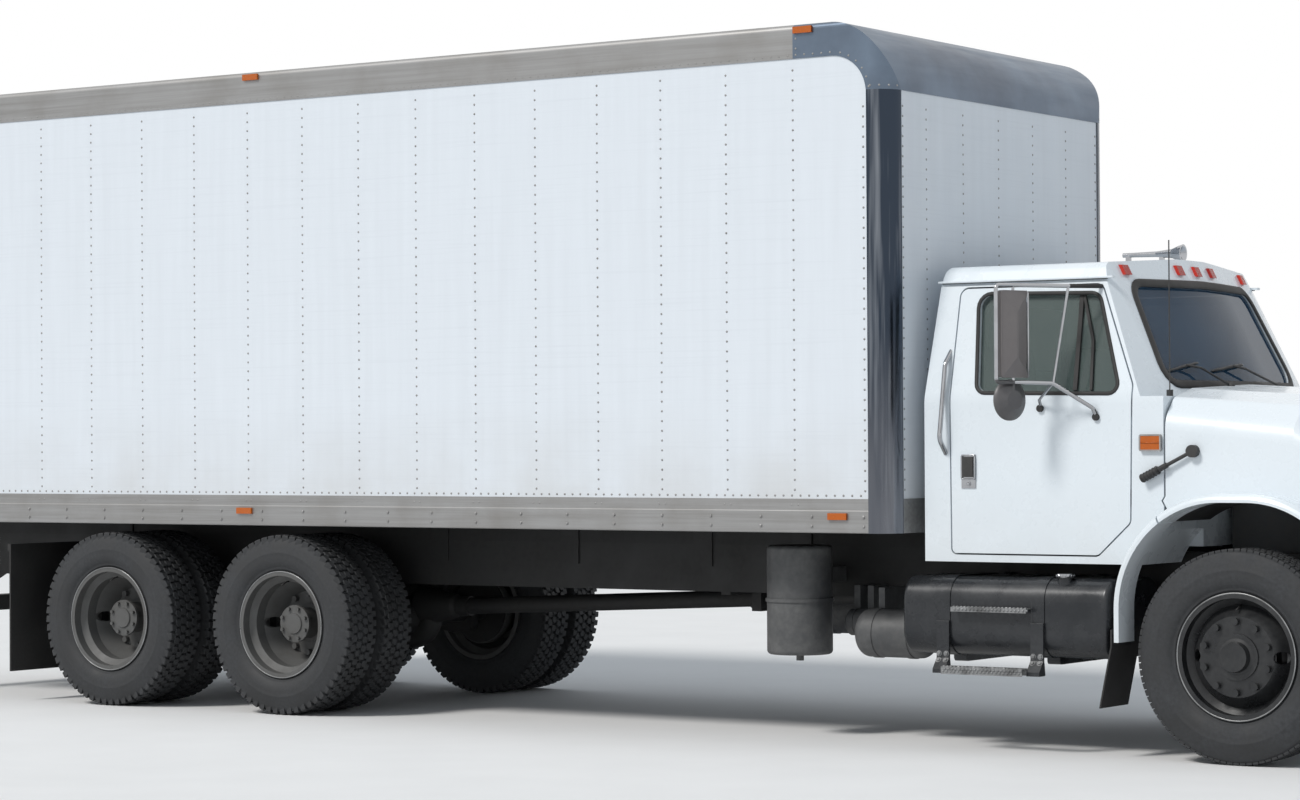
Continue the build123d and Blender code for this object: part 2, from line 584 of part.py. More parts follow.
ARCH = [
    (FRONT_AXLE_X - 588, 0), (FRONT_AXLE_X + 588, 0), (FRONT_AXLE_X + 588, 1236, 515), (FRONT_AXLE_X - 588, 1236, 515),
]
ARCH_INNER_Y = 560.0
LIP = ((1000.0, 46.0), (1138.0, 40.0), (1164.0, 28.0), (ARCH_LIP_Y, 14.0))
SEAM_GAP = 10.0
SEAM = [(COWL_FRONT, 3000), (COWL_FRONT, 1262), (COWL_FRONT - 14, 1240), (X_BODY + 1440, 1120), (X_BODY + 1500, 0)]
STRIP_BOTTOM = 562.0


def behind_seam():
    """Everything behind the line where the hood meets the cab."""
    return prism("y", [(CAB_BACK - 400, 0), *reversed(SEAM), (CAB_BACK - 400, 3000)], -1500, 1500)


def ahead_of_seam(gap):
    return prism("y", [(X_BUMPER + 400, 3000), *shifted(SEAM, gap), (X_BUMPER + 400, 0)], -1500, 1500)


def arch_lip():
    """The flare around the left wheel arch, as one ring."""
    ring = ruled("y", [(y, grown(ARCH, width)) for y, width in LIP])
    hole = prism("y", ARCH, 400, 1400)
    return (ring - hole) - box(X_BODY, X_BUMPER, 0, 1400, -200, STRIP_BOTTOM)


DOOR_OUTLINE = [
    (X_BODY + 230, 973, 24), (X_BODY + 1035, 973, 40), (X_BODY + 1208, 1134, 40), (X_BODY + 1218, 1799, 60),
    (X_BODY + 1001, 2296, 50), (X_BODY + 219, 2296, 40),
]
DOOR_WINDOW = [
    (X_BODY + 372, 1776, 46), (X_BODY + 1150, 1764, 40), (X_BODY + 990, 2250, 60), (X_BODY + 326, 2264, 60),
]
HINGE_LEVELS = (1250.0, 1690.0)
HINGE_AHEAD = 36.0
HINGE_IN = 21.0
HINGE_X = X_BODY + 1218 + HINGE_AHEAD
HINGE_Y = CAB_HALF_WIDTH - HINGE_IN
HINGE_SKIN = 6.0
PIN_RADIUS = 6.0
BARREL_RADIUS = 9.5
BARREL_HALF = 20.0
POCKET_HALF = 40.0
SHIELD_WINDOW = reflected([(0, 1822), (752, 1822, 70), (672, 2292, 80), (0, 2300)])
REAR_WINDOW = [(-440, 1900, 60), (440, 1900, 60), (440, 2230, 60), (-440, 2230, 60)]
ROOF_SPLIT = 2326.0
PANEL_JOINT_Y = 800.0
TUNNEL_HALF = 560.0
TUNNEL_TOP = 1008.0
FLOOR_TOP = 1046.0


def cab_cavity():
    """The room inside the cab: the hull moved in by the wall, over the floor and behind the firewall."""
    room = cab_hull(CAB_WALL)
    limit = [
        (CAB_BACK + CAB_WALL, FLOOR_TOP), (X_BODY + 1185, FLOOR_TOP), (X_BODY + 1310, 1290), (COWL_FRONT - CAB_WALL, 1420),
        (COWL_FRONT + 200, 1780), (COWL_FRONT + 200, 3000), (CAB_BACK, 3000),
    ]
    return common(room, prism("y", limit, -1300, 1300))


def hinge_pocket(level):
    """Room for one concealed hinge of the left door, open to the doorway and to the cab."""
    low, high = level - POCKET_HALF, level + POCKET_HALF
    return box(HINGE_X - HINGE_AHEAD - 2, HINGE_X + BARREL_RADIUS + 7, 900, CAB_HALF_WIDTH - HINGE_SKIN, low, high)


def welded_panels(shell):
    """The shell parted where its pressings meet: floor, tunnel, back, dash, header and the two side frames."""
    rear, front = CAB_BACK - 100, COWL_FRONT + 400
    back = CAB_BACK + CAB_WALL + 35
    foot, window_foot, header = FLOOR_TOP, 1822.0, 2292.0
    sill = CAB_HALF_WIDTH - CAB_WALL
    places = (
        (rear, front, -TUNNEL_HALF, TUNNEL_HALF, 0, foot),
        (rear, front, TUNNEL_HALF, sill, 0, foot),
        (rear, front, -sill, -TUNNEL_HALF, 0, foot),
        (rear, back, -PANEL_JOINT_Y, PANEL_JOINT_Y, foot, 2700),
        (back, front, -PANEL_JOINT_Y, PANEL_JOINT_Y, foot, window_foot),
        (back, front, -PANEL_JOINT_Y, PANEL_JOINT_Y, header, 2700),
    )
    found = []
    for place in places:
        found.append(common(shell, box(*place)))
        shell = shell - box(*place)
    return found + [shell]


def cab_parts():
    outer = cab_hull(0)
    shell = common(outer - cab_cavity(), behind_seam())
    cut = prism("y", ARCH, ARCH_INNER_Y, 1400)
    shell = shell - cut - mirrored(cut)
    shell = shell - box(CAB_BACK - 50, COWL_FRONT + 50, -TUNNEL_HALF, TUNNEL_HALF, CAB_BOTTOM - 50, TUNNEL_TOP)
    shell = shell - prism("x", REAR_WINDOW, CAB_BACK - 50, CAB_BACK + 150)
    shell = shell - prism("x", SHIELD_WINDOW, X_BODY + 900, COWL_FRONT + 200)
    opening = prism("y", grown(DOOR_OUTLINE, DOOR_GAP), 600, 1300)
    lip = common(arch_lip(), behind_seam())
    lip = lip - box(CAB_BACK, X_BUMPER, 0, 999, 0, CAB_BOTTOM)
    pieces = [lip]
    pins = []
    shell = shell - opening - mirrored(opening)
    for level in HINGE_LEVELS:
        pocket = hinge_pocket(level)
        shell = shell - pocket - mirrored(pocket)
        pins.append(cyl("z", (HINGE_X, HINGE_Y), PIN_RADIUS, level - POCKET_HALF, level + POCKET_HALF))
    for piece in pieces + pins:
        shell = shell.fuse(piece, mirrored(piece))
    split = box(CAB_BACK - 100, COWL_FRONT + 200, -1300, 1300, ROOF_SPLIT, 2700)
    roof = common(outer, split) - cab_hull(34)
    gutter = prism("x", [(RAIL_Y - 22, ROOF_SPLIT), (RAIL_Y + 14, ROOF_SPLIT, 5), (RAIL_Y + 14, ROOF_SPLIT + 12, 5), (RAIL_Y - 22, ROOF_SPLIT + 12)],
                   CAB_BACK + 14, X_BODY + 1060)
    roof = roof.fuse(gutter, mirrored(gutter))
    return welded_panels(shell - split), roof


def cab_door():
    """The left door with its window opening and the goosenecks of its concealed hinges."""
    inner_y = CAB_HALF_WIDTH - DOOR_WALL
    slab = common(cab_hull(0), prism("y", DOOR_OUTLINE, 500, 1300))
    slab = slab - prism("x", grown(CAB_SECTION, -DOOR_WALL), X_BODY, COWL_FRONT) - box(X_BODY, COWL_FRONT, 0, inner_y, 0, CAB_BELT)
    slab = slab - prism("y", DOOR_WINDOW, 500, 1300)
    arms = []
    for level in HINGE_LEVELS:
        low, high = level - BARREL_HALF, level + BARREL_HALF
        barrel = cyl("z", (HINGE_X, HINGE_Y), BARREL_RADIUS, low, high)
        leg = box(HINGE_X - 6, HINGE_X + 6, inner_y, HINGE_Y, low, high)
        foot = box(HINGE_X - HINGE_AHEAD - 14, HINGE_X + 6, inner_y, inner_y + 12, low, high)
        arms.append(joined([barrel, leg, foot]) - cyl("z", (HINGE_X, HINGE_Y), PIN_RADIUS + FIT, low - 5, high + 5))
    return joined([slab, *arms])


def door_glass():
    pane = common(cab_hull(26) - cab_hull(31), prism("y", DOOR_WINDOW, 500, 1300))
    return pane


def shield():
    return common(cab_hull(12) - cab_hull(18), prism("x", SHIELD_WINDOW, X_BODY + 900, COWL_FRONT + 200))


def back_glass():
    return common(cab_hull(20) - cab_hull(25), prism("x", REAR_WINDOW, CAB_BACK - 50, CAB_BACK + 150))


# Hood with fenders, tilting forward
HOOD_WALL = 14.0
HOOD_FRONT = X_BODY + 2700.0
HOOD_BOTTOM = 812.0
HOOD_STATIONS = (
    (COWL_FRONT - 40, ((1005, 1640, 120), (905, 1742, 60), (700, 1788, 70), 1814)),
    (X_BODY + 2060, ((1032, 1575, 130), (882, 1692, 60), (684, 1742, 70), 1770)),
    (X_BODY + 2470, ((1052, 1330, 150), (724, 1540, 90), (560, 1686, 70), 1722)),
    (HOOD_FRONT, ((1016, 1190, 120), (650, 1350, 90), (520, 1616, 70), 1655)),
)
GRILLE_OPENING = [(-455, 1010, 40), (455, 1010, 40), (455, 1560, 60), (-455, 1560, 60)]
LAMP_OPENING = [(590, 985, 24), (905, 985, 24), (905, 1150, 24), (590, 1150, 24)]
TILT_X = X_BODY + 2610.0
TILT_Z = 760.0
TILT_PIN = 12.0
TILT_ARM_Y = (296.0, 336.0)


def hood_hull(inset, floor):
    sections = []
    for x, (side, shoulder, crest, crown) in HOOD_STATIONS:
        half = [(0, floor), (side[0], floor), side, shoulder, crest, (0, crown, 1800)]
        sections.append((x, grown(reflected(half), -inset) if inset else reflected(half)))
    return ruled("x", sections)


def hood_parts():
    outer = hood_hull(0, 500)
    inner = hood_hull(HOOD_WALL, 300) - box(HOOD_FRONT - HOOD_WALL, HOOD_FRONT + 50, -1300, 1300, 0, 2500)
    shell = outer - inner
    cut = prism("y", ARCH, ARCH_INNER_Y, 1400)
    lip = arch_lip()
    for side in (lip, mirrored(lip)):
        shell = shell.fuse(side)
    shell = shell - cut - mirrored(cut)
    shell = common(shell, ahead_of_seam(SEAM_GAP))
    shell = shell - box(FRONT_AXLE_X, X_BUMPER + 200, -1400, 1400, 0, HOOD_BOTTOM)
    shell = shell - prism("x", GRILLE_OPENING, HOOD_FRONT - 60, HOOD_FRONT + 10)
    lamp = prism("x", LAMP_OPENING, HOOD_FRONT - 60, HOOD_FRONT + 10)
    shell = shell - lamp - mirrored(lamp)
    arm = prism("y", [(TILT_X - 24, TILT_Z - 24, 22), (TILT_X + 30, TILT_Z - 24, 22), (HOOD_FRONT - 6, HOOD_BOTTOM), (HOOD_FRONT - 6, HOOD_BOTTOM + 56),
                      (TILT_X - 24, TILT_Z + 30, 22)], *TILT_ARM_Y)
    arm = arm - cyl("y", (TILT_X, TILT_Z), TILT_PIN + FIT, 200, 500)
    shell = shell.fuse(arm, mirrored(arm))
    band = prism("y", grown(ARCH, 8), ARCH_INNER_Y + 40, 1000) - prism("y", ARCH, 400, 1200)
    band = common(band, ahead_of_seam(SEAM_GAP + 4)) - box(X_BODY, X_BUMPER, 0, 1400, 0, CAB_BOTTOM) - shell
    return shell, band


def grille():
    """A frame in the nose opening with upright slats."""
    low, high = HOOD_FRONT - HOOD_WALL, HOOD_FRONT + 8
    frame = prism("x", GRILLE_OPENING, low, high) - prism("x", grown(GRILLE_OPENING, -26), low - 1, high + 1)
    slats = [box(low, high - 6, y - 7, y + 7, 1020, 1550) for y in range(-390, 391, 60)]
    bar = box(low, high - 3, -445, 445, 1278, 1292)
    return joined([frame, *slats, bar])


def headlamp():
    body = prism("x", LAMP_OPENING, HOOD_FRONT - 60, HOOD_FRONT + 4)
    lens = prism("x", grown(LAMP_OPENING, -12), HOOD_FRONT - 6, HOOD_FRONT + 14)
    return joined([body, lens])


def bumper():
    plan = [(X_BUMPER - 74, -1160, 30), (X_BUMPER, -1110, 90), (X_BUMPER, 1110, 90), (X_BUMPER - 74, 1160, 30),
            (X_BUMPER - 170, 1160, 8), (X_BUMPER - 170, 1146, 3), (X_BUMPER - 80, 1146, 26), (X_BUMPER - 14, 1100, 80),
            (X_BUMPER - 14, -1100, 80), (X_BUMPER - 80, -1146, 26), (X_BUMPER - 170, -1146, 3), (X_BUMPER - 170, -1160, 8)]
    face = prism("z", plan, 425, 700)
    flanges = []
    for low, high in ((425, 437), (688, 700)):
        flanges.append(prism("z", [(X_BUMPER - 74, -1100), (X_BUMPER - 10, -1060, 60), (X_BUMPER - 10, 1060, 60), (X_BUMPER - 74, 1100)], low, high))
    brackets = []
    for side in (-1, 1):
        shape = [(RAIL_FRONT - 55, RAIL_BOTTOM), (RAIL_FRONT - 55, 640, 20), (X_BUMPER - 270, 480, 30), (X_BUMPER - 10, 480),
                 (X_BUMPER - 10, 660), (RAIL_FRONT, 660, 10), (RAIL_FRONT, RAIL_BOTTOM)]
        brackets.append(prism("y", shape, *sorted((side * (RAIL_HALF_WIDTH - 72), side * RAIL_HALF_WIDTH))))
        lug = [(TILT_X - 40, 650), (TILT_X + 40, 650), (TILT_X + 24, TILT_Z + 10, 16), (TILT_X - 24, TILT_Z + 10, 16)]
        inner = side * (TILT_ARM_Y[1] + 7)
        brackets.append(prism("y", lug, *sorted((inner, side * RAIL_HALF_WIDTH))))
        brackets.append(cyl("y", (TILT_X, TILT_Z), TILT_PIN, *sorted((side * (TILT_ARM_Y[0] - 4), inner))))
    return joined([face, *flanges, *brackets])


# Van body
POST_RADIUS = 130.0
POST_WALL = 30.0
CAP_FOOT = BODY_TOP - 358.0
CAP_SIDE_X = X_BODY - 560.0
CAP_ROLL = 360.0
RAIL_FOOT = BODY_TOP - 175.0
BOTTOM_RAIL_TOP = BODY_BOTTOM + 173.0
SKIN_Y = BODY_HALF_WIDTH - 5.0
WALL = 38.0
REAR_FRAME = 60.0
DECK_LOW, DECK_TOP = BODY_BOTTOM + 116.0, BODY_BOTTOM + 148.0
SILL_Y = (388.0, RAIL_HALF_WIDTH)
CROSS_PITCH = 304.8
CROSS_HEIGHT = 100.0


def body_plan(inset):
    half = BODY_HALF_WIDTH - inset
    return [(X_REAR + inset, -half), (X_BODY - inset, -half, max(POST_RADIUS - inset, 4)), (X_BODY - inset, half, max(POST_RADIUS - inset, 4)),
            (X_REAR + inset, half)]


def cap_hull(inset):
    """The front top of the body: plan corners, the roll over the front and the softened roof edge."""
    plan = prism("z", body_plan(inset), CAP_FOOT - 400, BODY_TOP + 10)
    side = prism("y", [(X_REAR, CAP_FOOT - 500), (X_BODY - inset, CAP_FOOT - 500), (X_BODY - inset, BODY_TOP - inset, CAP_ROLL - inset),
                       (X_REAR, BODY_TOP - inset)], -1400, 1400)
    front = prism("x", [(-BODY_HALF_WIDTH + inset, CAP_FOOT - 500), (BODY_HALF_WIDTH - inset, CAP_FOOT - 500),
                        (BODY_HALF_WIDTH - inset, BODY_TOP - inset, max(30 - inset, 4)),
                        (-BODY_HALF_WIDTH + inset, BODY_TOP - inset, max(30 - inset, 4))], X_REAR - 10, X_BODY + 100)
    return common(plan, side, front)


def cap():
    shell = cap_hull(0) - cap_hull(POST_WALL)
    cut = prism("y", [(CAP_SIDE_X - 3000, CAP_FOOT - 800), (X_BODY - POST_RADIUS, CAP_FOOT - 800), (X_BODY - POST_RADIUS, RAIL_FOOT, 200),
                      (CAP_SIDE_X - 3000, RAIL_FOOT)], -1400, 1400)
    low = box(X_REAR - 100, X_BODY + 100, -1400, 1400, 0, CAP_FOOT)
    back = box(X_REAR - 100, CAP_SIDE_X, -1400, 1400, 0, BODY_TOP + 100)
    return shell - cut - low - back


def body_post():
    """The rounded left front post, from the bottom rail to the cap."""
    ring = prism("z", body_plan(0), BODY_BOTTOM, CAP_FOOT) - prism("z", body_plan(POST_WALL), BODY_BOTTOM - 10, CAP_FOOT + 10)
    keep = box(X_BODY - POST_RADIUS, X_BODY + 10, BODY_HALF_WIDTH - POST_RADIUS, BODY_HALF_WIDTH + 10, 0, 4000)
    return common(ring, keep)


def body_front_wall():
    edge = BODY_HALF_WIDTH - POST_RADIUS
    wall = box(X_BODY - 5 - WALL, X_BODY - 5, -edge, edge, BOTTOM_RAIL_TOP, CAP_FOOT)
    return wall


def side_wall():
    wall = box(X_REAR + REAR_FRAME, X_BODY - POST_RADIUS, SKIN_Y - WALL, SKIN_Y, BOTTOM_RAIL_TOP, RAIL_FOOT)
    corner = prism("y", [(X_BODY - POST_RADIUS - 500, RAIL_FOOT - 500), (X_BODY - POST_RADIUS, RAIL_FOOT - 500),
                         (X_BODY - POST_RADIUS, RAIL_FOOT, 200), (X_BODY - POST_RADIUS - 500, RAIL_FOOT)], SKIN_Y - WALL - 5, SKIN_Y + 5)
    square = box(X_BODY - POST_RADIUS - 500, X_BODY, SKIN_Y - WALL - 5, SKIN_Y + 5, RAIL_FOOT - 500, RAIL_FOOT + 100)
    return wall - (square - corner)


def top_rail():
    section = [(SKIN_Y - WALL, RAIL_FOOT), (BODY_HALF_WIDTH, RAIL_FOOT), (BODY_HALF_WIDTH, BODY_TOP, 30), (SKIN_Y - 120, BODY_TOP),
               (SKIN_Y - 120, BODY_TOP - 14), (SKIN_Y - WALL, BODY_TOP - 60)]
    return prism("x", section, X_REAR + REAR_FRAME, CAP_SIDE_X)


def bottom_rail():
    section = [(SKIN_Y - WALL, BODY_BOTTOM), (BODY_HALF_WIDTH, BODY_BOTTOM, 6), (BODY_HALF_WIDTH, BODY_BOTTOM + 112, 4),
               (BODY_HALF_WIDTH - 4, BODY_BOTTOM + 116), (BODY_HALF_WIDTH - 4, BOTTOM_RAIL_TOP), (SKIN_Y - WALL, BOTTOM_RAIL_TOP)]
    return prism("x", section, X_REAR + REAR_FRAME, X_BODY - POST_RADIUS)


def front_sill():
    edge = BODY_HALF_WIDTH - POST_RADIUS
    return box(X_BODY - 5 - WALL, X_BODY, -edge, edge, BODY_BOTTOM, BOTTOM_RAIL_TOP)


def body_roof():
    """The roof skin and its bows, between the top rails, the cap and the rear frame."""
    edge = SKIN_Y - 120
    skin = box(X_REAR + REAR_FRAME, CAP_SIDE_X, -edge, edge, BODY_TOP - 14, BODY_TOP)
    count = int((BODY_LENGTH - 700) // (2 * CROSS_PITCH))
    bows = []
    for i in range(count):
        x = CAP_SIDE_X - 60 - i * 2 * CROSS_PITCH
        bows.append(box(x - 22, x + 22, -edge, edge, BODY_TOP - 44, BODY_TOP - 14))
    return [skin, *bows]


def body_floor():
    """Longsills on the frame rails, crossmembers between the bottom rails and the deck on top."""
    reach = SKIN_Y - WALL
    deck = box(X_REAR + REAR_FRAME, X_BODY - 5 - WALL, -reach, reach, DECK_LOW, DECK_TOP)
    tongue = box(X_REAR + 14, X_REAR + REAR_FRAME, -REAR_POST_Y, REAR_POST_Y, DECK_LOW, DECK_TOP)
    pieces = [common(deck, prism("z", body_plan(POST_WALL), DECK_LOW, DECK_TOP)).fuse(tongue)]
    for side in (-1, 1):
        pieces.append(box(X_REAR + 20, X_BODY - 60, *sorted((side * SILL_Y[0], side * SILL_Y[1])), RAIL_TOP, BODY_BOTTOM + 16))
    count = int((BODY_LENGTH - 260) // CROSS_PITCH) + 1
    for i in range(count):
        x = X_BODY - 158 - i * CROSS_PITCH
        low, high = DECK_LOW - CROSS_HEIGHT, DECK_LOW
        beam = box(x - 28, x + 28, -reach, reach, low, high) - box(x - 29, x + 20, -reach - 1, reach + 1, low + 8, high - 8)
        pieces.append(beam)
    return pieces


REAR_POST_Y = 1119.0
HEADER_LOW = BODY_TOP - 179.0
SILL_TOP = DECK_TOP
REAR_DOOR_WALL = 45.0
REAR_GAP = 6.0
REAR_HINGE_X = X_REAR - 19.0
REAR_HINGE_Y = BODY_HALF_WIDTH + 13.0
REAR_BARREL = 11.0
REAR_PIN = 6.0
REAR_HINGE_ENDS = (DECK_TOP + 202.0, HEADER_LOW - 196.0)
REAR_HINGE_LEVELS = [REAR_HINGE_ENDS[0] + (REAR_HINGE_ENDS[1] - REAR_HINGE_ENDS[0]) * i / 3 for i in range(4)]
REAR_LEAF = 12.0
DOOR_FACE_X = X_REAR - REAR_GAP


def rear_frame():
    """The steel frame around the rear opening, with the hinge lugs and pins."""
    outer = box(X_REAR, X_REAR + REAR_FRAME, -BODY_HALF_WIDTH, BODY_HALF_WIDTH, BODY_BOTTOM, BODY_TOP)
    hole = box(X_REAR - 1, X_REAR + REAR_FRAME + 1, -REAR_POST_Y, REAR_POST_Y, SILL_TOP, HEADER_LOW)
    frame = outer - hole - box(X_REAR + 14, X_REAR + REAR_FRAME + 1, -REAR_POST_Y, REAR_POST_Y, BODY_BOTTOM - 1, DECK_TOP + 1)
    extras = []
    for side in (-1, 1):
        for level in REAR_HINGE_LEVELS:
            for low, high in ((level - 62, level - 40 - FIT), (level + 40 + FIT, level + 62)):
                knuckle_end = cyl("z", (REAR_HINGE_X, side * REAR_HINGE_Y), REAR_BARREL, low, high)
                web = box(REAR_HINGE_X, X_REAR + 30, *sorted((side * (BODY_HALF_WIDTH - 6), side * (REAR_HINGE_Y + 8))), low, high)
                extras += [knuckle_end, web]
            extras.append(cyl("z", (REAR_HINGE_X, side * REAR_HINGE_Y), REAR_PIN, level - 62, level + 62))
    return joined([frame, *extras])


def rear_door():
    """The left rear door with hinge straps, lock rods and handle."""
    low_z, high_z = SILL_TOP + REAR_GAP, HEADER_LOW - REAR_GAP
    panel = box(DOOR_FACE_X, DOOR_FACE_X + REAR_DOOR_WALL, 4, REAR_POST_Y - REAR_GAP, low_z, high_z)
    pieces = [panel]
    for level in REAR_HINGE_LEVELS:
        pieces.append(box(DOOR_FACE_X - REAR_LEAF, DOOR_FACE_X, 780, REAR_HINGE_Y - 4, level - 30, level + 30))
        pieces.append(cyl("z", (REAR_HINGE_X, REAR_HINGE_Y), REAR_BARREL, level - 40, level + 40))
        pieces.append(box(DOOR_FACE_X - REAR_LEAF, DOOR_FACE_X - 1, REAR_HINGE_Y - 12, REAR_HINGE_Y, level - 30, level + 30))
    rod_x = DOOR_FACE_X - 24
    for y in (330, 900):
        pieces.append(cyl("z", (rod_x, y), 13, low_z - 20, high_z + 20))
        for share in (0.03, 0.26, 0.48, 0.75, 0.97):
            level = low_z + (high_z - low_z) * share
            pieces.append(box(rod_x - 8, DOOR_FACE_X, y - 26, y + 26, level - 22, level + 22))
    handle_x, handle_z = X_REAR - REAR_REACH, DECK_TOP + 457
    pieces.append(box(handle_x, handle_x + 12, 330, 640, handle_z - 15, handle_z + 15))
    pieces.append(box(handle_x, rod_x, 316, 344, handle_z - 20, handle_z + 20))
    pieces.append(box(handle_x + 2, DOOR_FACE_X, 600, 640, handle_z - 25, handle_z + 25))
    solid = joined(pieces)
    for level in REAR_HINGE_LEVELS:
        solid = solid - cyl("z", (REAR_HINGE_X, REAR_HINGE_Y), REAR_PIN + FIT, level - 45, level + 45)
    return solid


# Tanks, boxes and guards on the frame
TANK_X = (X_BODY + 0.0, X_BODY + 1138.0)
TANK_Y = (-1112.0, -530.0)
TANK_Z = (470.0, 858.0)
TANK_RADIUS = 112.0
STRAPS_X = (X_BODY + 240.0, X_BODY + 763.0)
STRAP_WIDTH = 70.0
STRAP = 5.0
STEP_Z = 384.0
STEP_UPPER_Z = 694.0
FILLER = (X_BODY + 880.0, TANK_Y[0] + 66.0)
BRACKET_Y = RAIL_HALF_WIDTH


def tank_section(outset=0.0):
    (y0, y1), (z0, z1) = TANK_Y, TANK_Z
    corners = [(y0, z0, TANK_RADIUS), (y1, z0, TANK_RADIUS), (y1, z1, TANK_RADIUS), (y0, z1, TANK_RADIUS)]
    return grown(corners, outset) if outset else corners


def fuel_tank():
    body = prism("x", tank_section(), *TANK_X)
    ends = body.edges().filter_by_position(Axis.X, TANK_X[0] - 1, TANK_X[0] + 1) + body.edges().filter_by_position(Axis.X, TANK_X[1] - 1, TANK_X[1] + 1)
    body = fillet(ends, 26)
    neck = cyl("z", FILLER, 36, TANK_Z[1] - 40, TANK_Z[1] + 4)
    lid = cyl("z", FILLER, 46, TANK_Z[1] + 4, TANK_Z[1] + 24)
    return joined([body, neck, lid])


def tank_straps():
    """Straps around the tank, with the shelf brackets that carry them on the rail."""
    found = []
    y0, y1 = TANK_Y
    z0, z1 = TANK_Z
    for x in STRAPS_X:
        low, high = x - STRAP_WIDTH / 2, x + STRAP_WIDTH / 2
        band = prism("x", tank_section(STRAP), low, high) - prism("x", tank_section(), low - 1, high + 1)
        arm = [(-BRACKET_Y, z1), (-BRACKET_Y, z0 - 40), (y0 + 160, z0 - 40, 20), (y0 + 160, z0), (y1 - 60, z0), (y1, z0 + 60), (y1, z1)]
        shelf = prism("x", arm, low, high) - prism("x", tank_section(STRAP), low - 1, high + 1)
        level = z0 + TANK_RADIUS + 60
        hanger = [(y0 - STRAP - 12, level, 4), (y0 - STRAP - 12, STEP_Z + 72, 24), (y0 - 60, STEP_Z + 20), (y0 - 60, STEP_Z),
                  (y0 + 6, STEP_Z, 8), (y0 - STRAP, STEP_Z + 72, 20), (y0 - STRAP, level)]
        found.append(joined([band, shelf, prism("x", hanger, low, high)]))
    return found


def tread(x0, x1, y0, y1, top, flange):
    """A step plate with its front edge folded down, and a row of drain holes along it."""
    plate = box(x0, x1, y0, y1, top - STEP_PLATE, top).fuse(box(x0, x1, y0, y0 + STEP_PLATE, top - flange, top))
    count = int((x1 - x0 - 30) // STEP_HOLE_PITCH)
    for i in range(count):
        plate = plate - cyl("z", (x0 + 30 + i * STEP_HOLE_PITCH, (y0 + y1) / 2), 9, top - STEP_PLATE - 1, top + 1)
    return plate


STEP_PLATE = 4.0
STEP_HOLE_PITCH = 44.0


def tank_steps():
    """The upper tread on the tank's side and the lower one on the strap hangers."""
    x0, x1 = STRAPS_X[0] + STRAP_WIDTH / 2, STRAPS_X[1] - STRAP_WIDTH / 2
    y = TANK_Y[0]
    upper = tread(x0 + 30, x1 - 6, y - 52, y, STEP_UPPER_Z + 18, 22)
    lower = tread(x0 + 2, x1 - 2, y - 104, y - 14, STEP_Z + 36, 36)
    arms = [box(*sorted((x, x + run)), y - 60, y - 20, STEP_Z + 4, STEP_Z + 36 - STEP_PLATE) for x, run in ((x0, 40), (x1, -40))]
    return [upper, joined([lower, *arms])]


CAN_X = X_BODY - 800.0
CAN_Y = -790.0
CAN_RADIUS = 172.0
CAN_Z = (424.0, 992.0)


def reservoir_can():
    """The upright can behind the fuel tank, on a shelf bracket."""
    low, high = CAN_Z
    body = Pos(CAN_X, CAN_Y, (low + high) / 2) * Cylinder(CAN_RADIUS, high - low)
    body = fillet(body.edges(), 22)
    middle = (low + high) / 2
    seam = cyl("z", (CAN_X, CAN_Y), CAN_RADIUS + 7, middle - 9, middle + 9)
    drain = cyl("z", (CAN_X, CAN_Y), 20, low - 34, low + 10)
    bracket = box(CAN_X - 70, CAN_X + 70, CAN_Y + 100, -BRACKET_Y, 790, 870)
    return joined([body, seam, drain, bracket])


AIR_TANKS = (
    ("right_long", -1, X_BODY - 430, X_BODY - 24, 770.0, 546.0, 124.0),
    ("right_short", -1, X_BODY - 610, X_BODY - 448, 610.0, 588.0, 66.0),
    ("left", 1, X_BODY - 1550, X_BODY - 1090, 640.0, 560.0, 118.0),
)


def air_tanks():
    found = []
    for name, side, x0, x1, y, z, radius in AIR_TANKS:
        body = cyl("x", (side * y, z), radius, x0, x1)
        body = fillet(body.edges(), radius * 0.45)
        bands = []
        for share in (0.25, 0.75):
            x = x0 + (x1 - x0) * share
            bands.append(cyl("x", (side * y, z), radius + 4, x - 18, x + 18))
            bands.append(box(x - 18, x + 18, *sorted((side * BRACKET_Y, side * (y - 20))), z + radius - 12, RAIL_BOTTOM + 60))
        found.append(joined([body, *bands]))
    return found


BATTERY = dict(x0=X_BODY + 260.0, x1=X_BODY + 1000.0, y0=540.0, y1=1080.0, z0=480.0, z1=852.0)


def battery_box():
    b = BATTERY
    body = box(b["x0"], b["x1"], b["y0"], b["y1"], b["z0"], b["z1"])
    body = fillet(body.edges().filter_by(Axis.X), 28)
    lid = box(b["x0"] - 8, b["x1"] + 8, b["y0"] - 4, b["y1"] + 8, b["z1"] - 90, b["z1"] - 70)
    found = [body, lid]
    for x in (b["x0"] + 90, b["x1"] - 90):
        found.append(box(x - 30, x + 30, BRACKET_Y, b["y0"] + 10, b["z0"] + 60, b["z1"] - 20))
        found.append(box(x - 24, x + 24, b["y1"] - 6, b["y1"] + 100, STEP_Z, STEP_Z + 16))
        found.append(box(x - 24, x + 24, b["y1"] - 6, b["y1"] + 12, STEP_Z, b["z0"] + 120))
    found.append(box(b["x0"] + 40, b["x1"] - 40, b["y1"] + 6, b["y1"] + 104, STEP_Z + 16, STEP_Z + 34))
    return joined(found)


def exhaust():
    """A muffler along the left rail, its inlet pipe from the engine and the tail pipe out to the side."""
    y, z = 640.0, 590.0
    body = cyl("x", (y, z), 116, X_BODY - 900, X_BODY + 120)
    body = fillet(body.edges(), 30)
    inlet = rod([(X_BODY + 100, y, z), (X_BODY + 182, y, z), (X_BODY + 182, 262, 640), (ENGINE["x0"], 262, 640)], 36, 60)
    return joined([body, inlet])


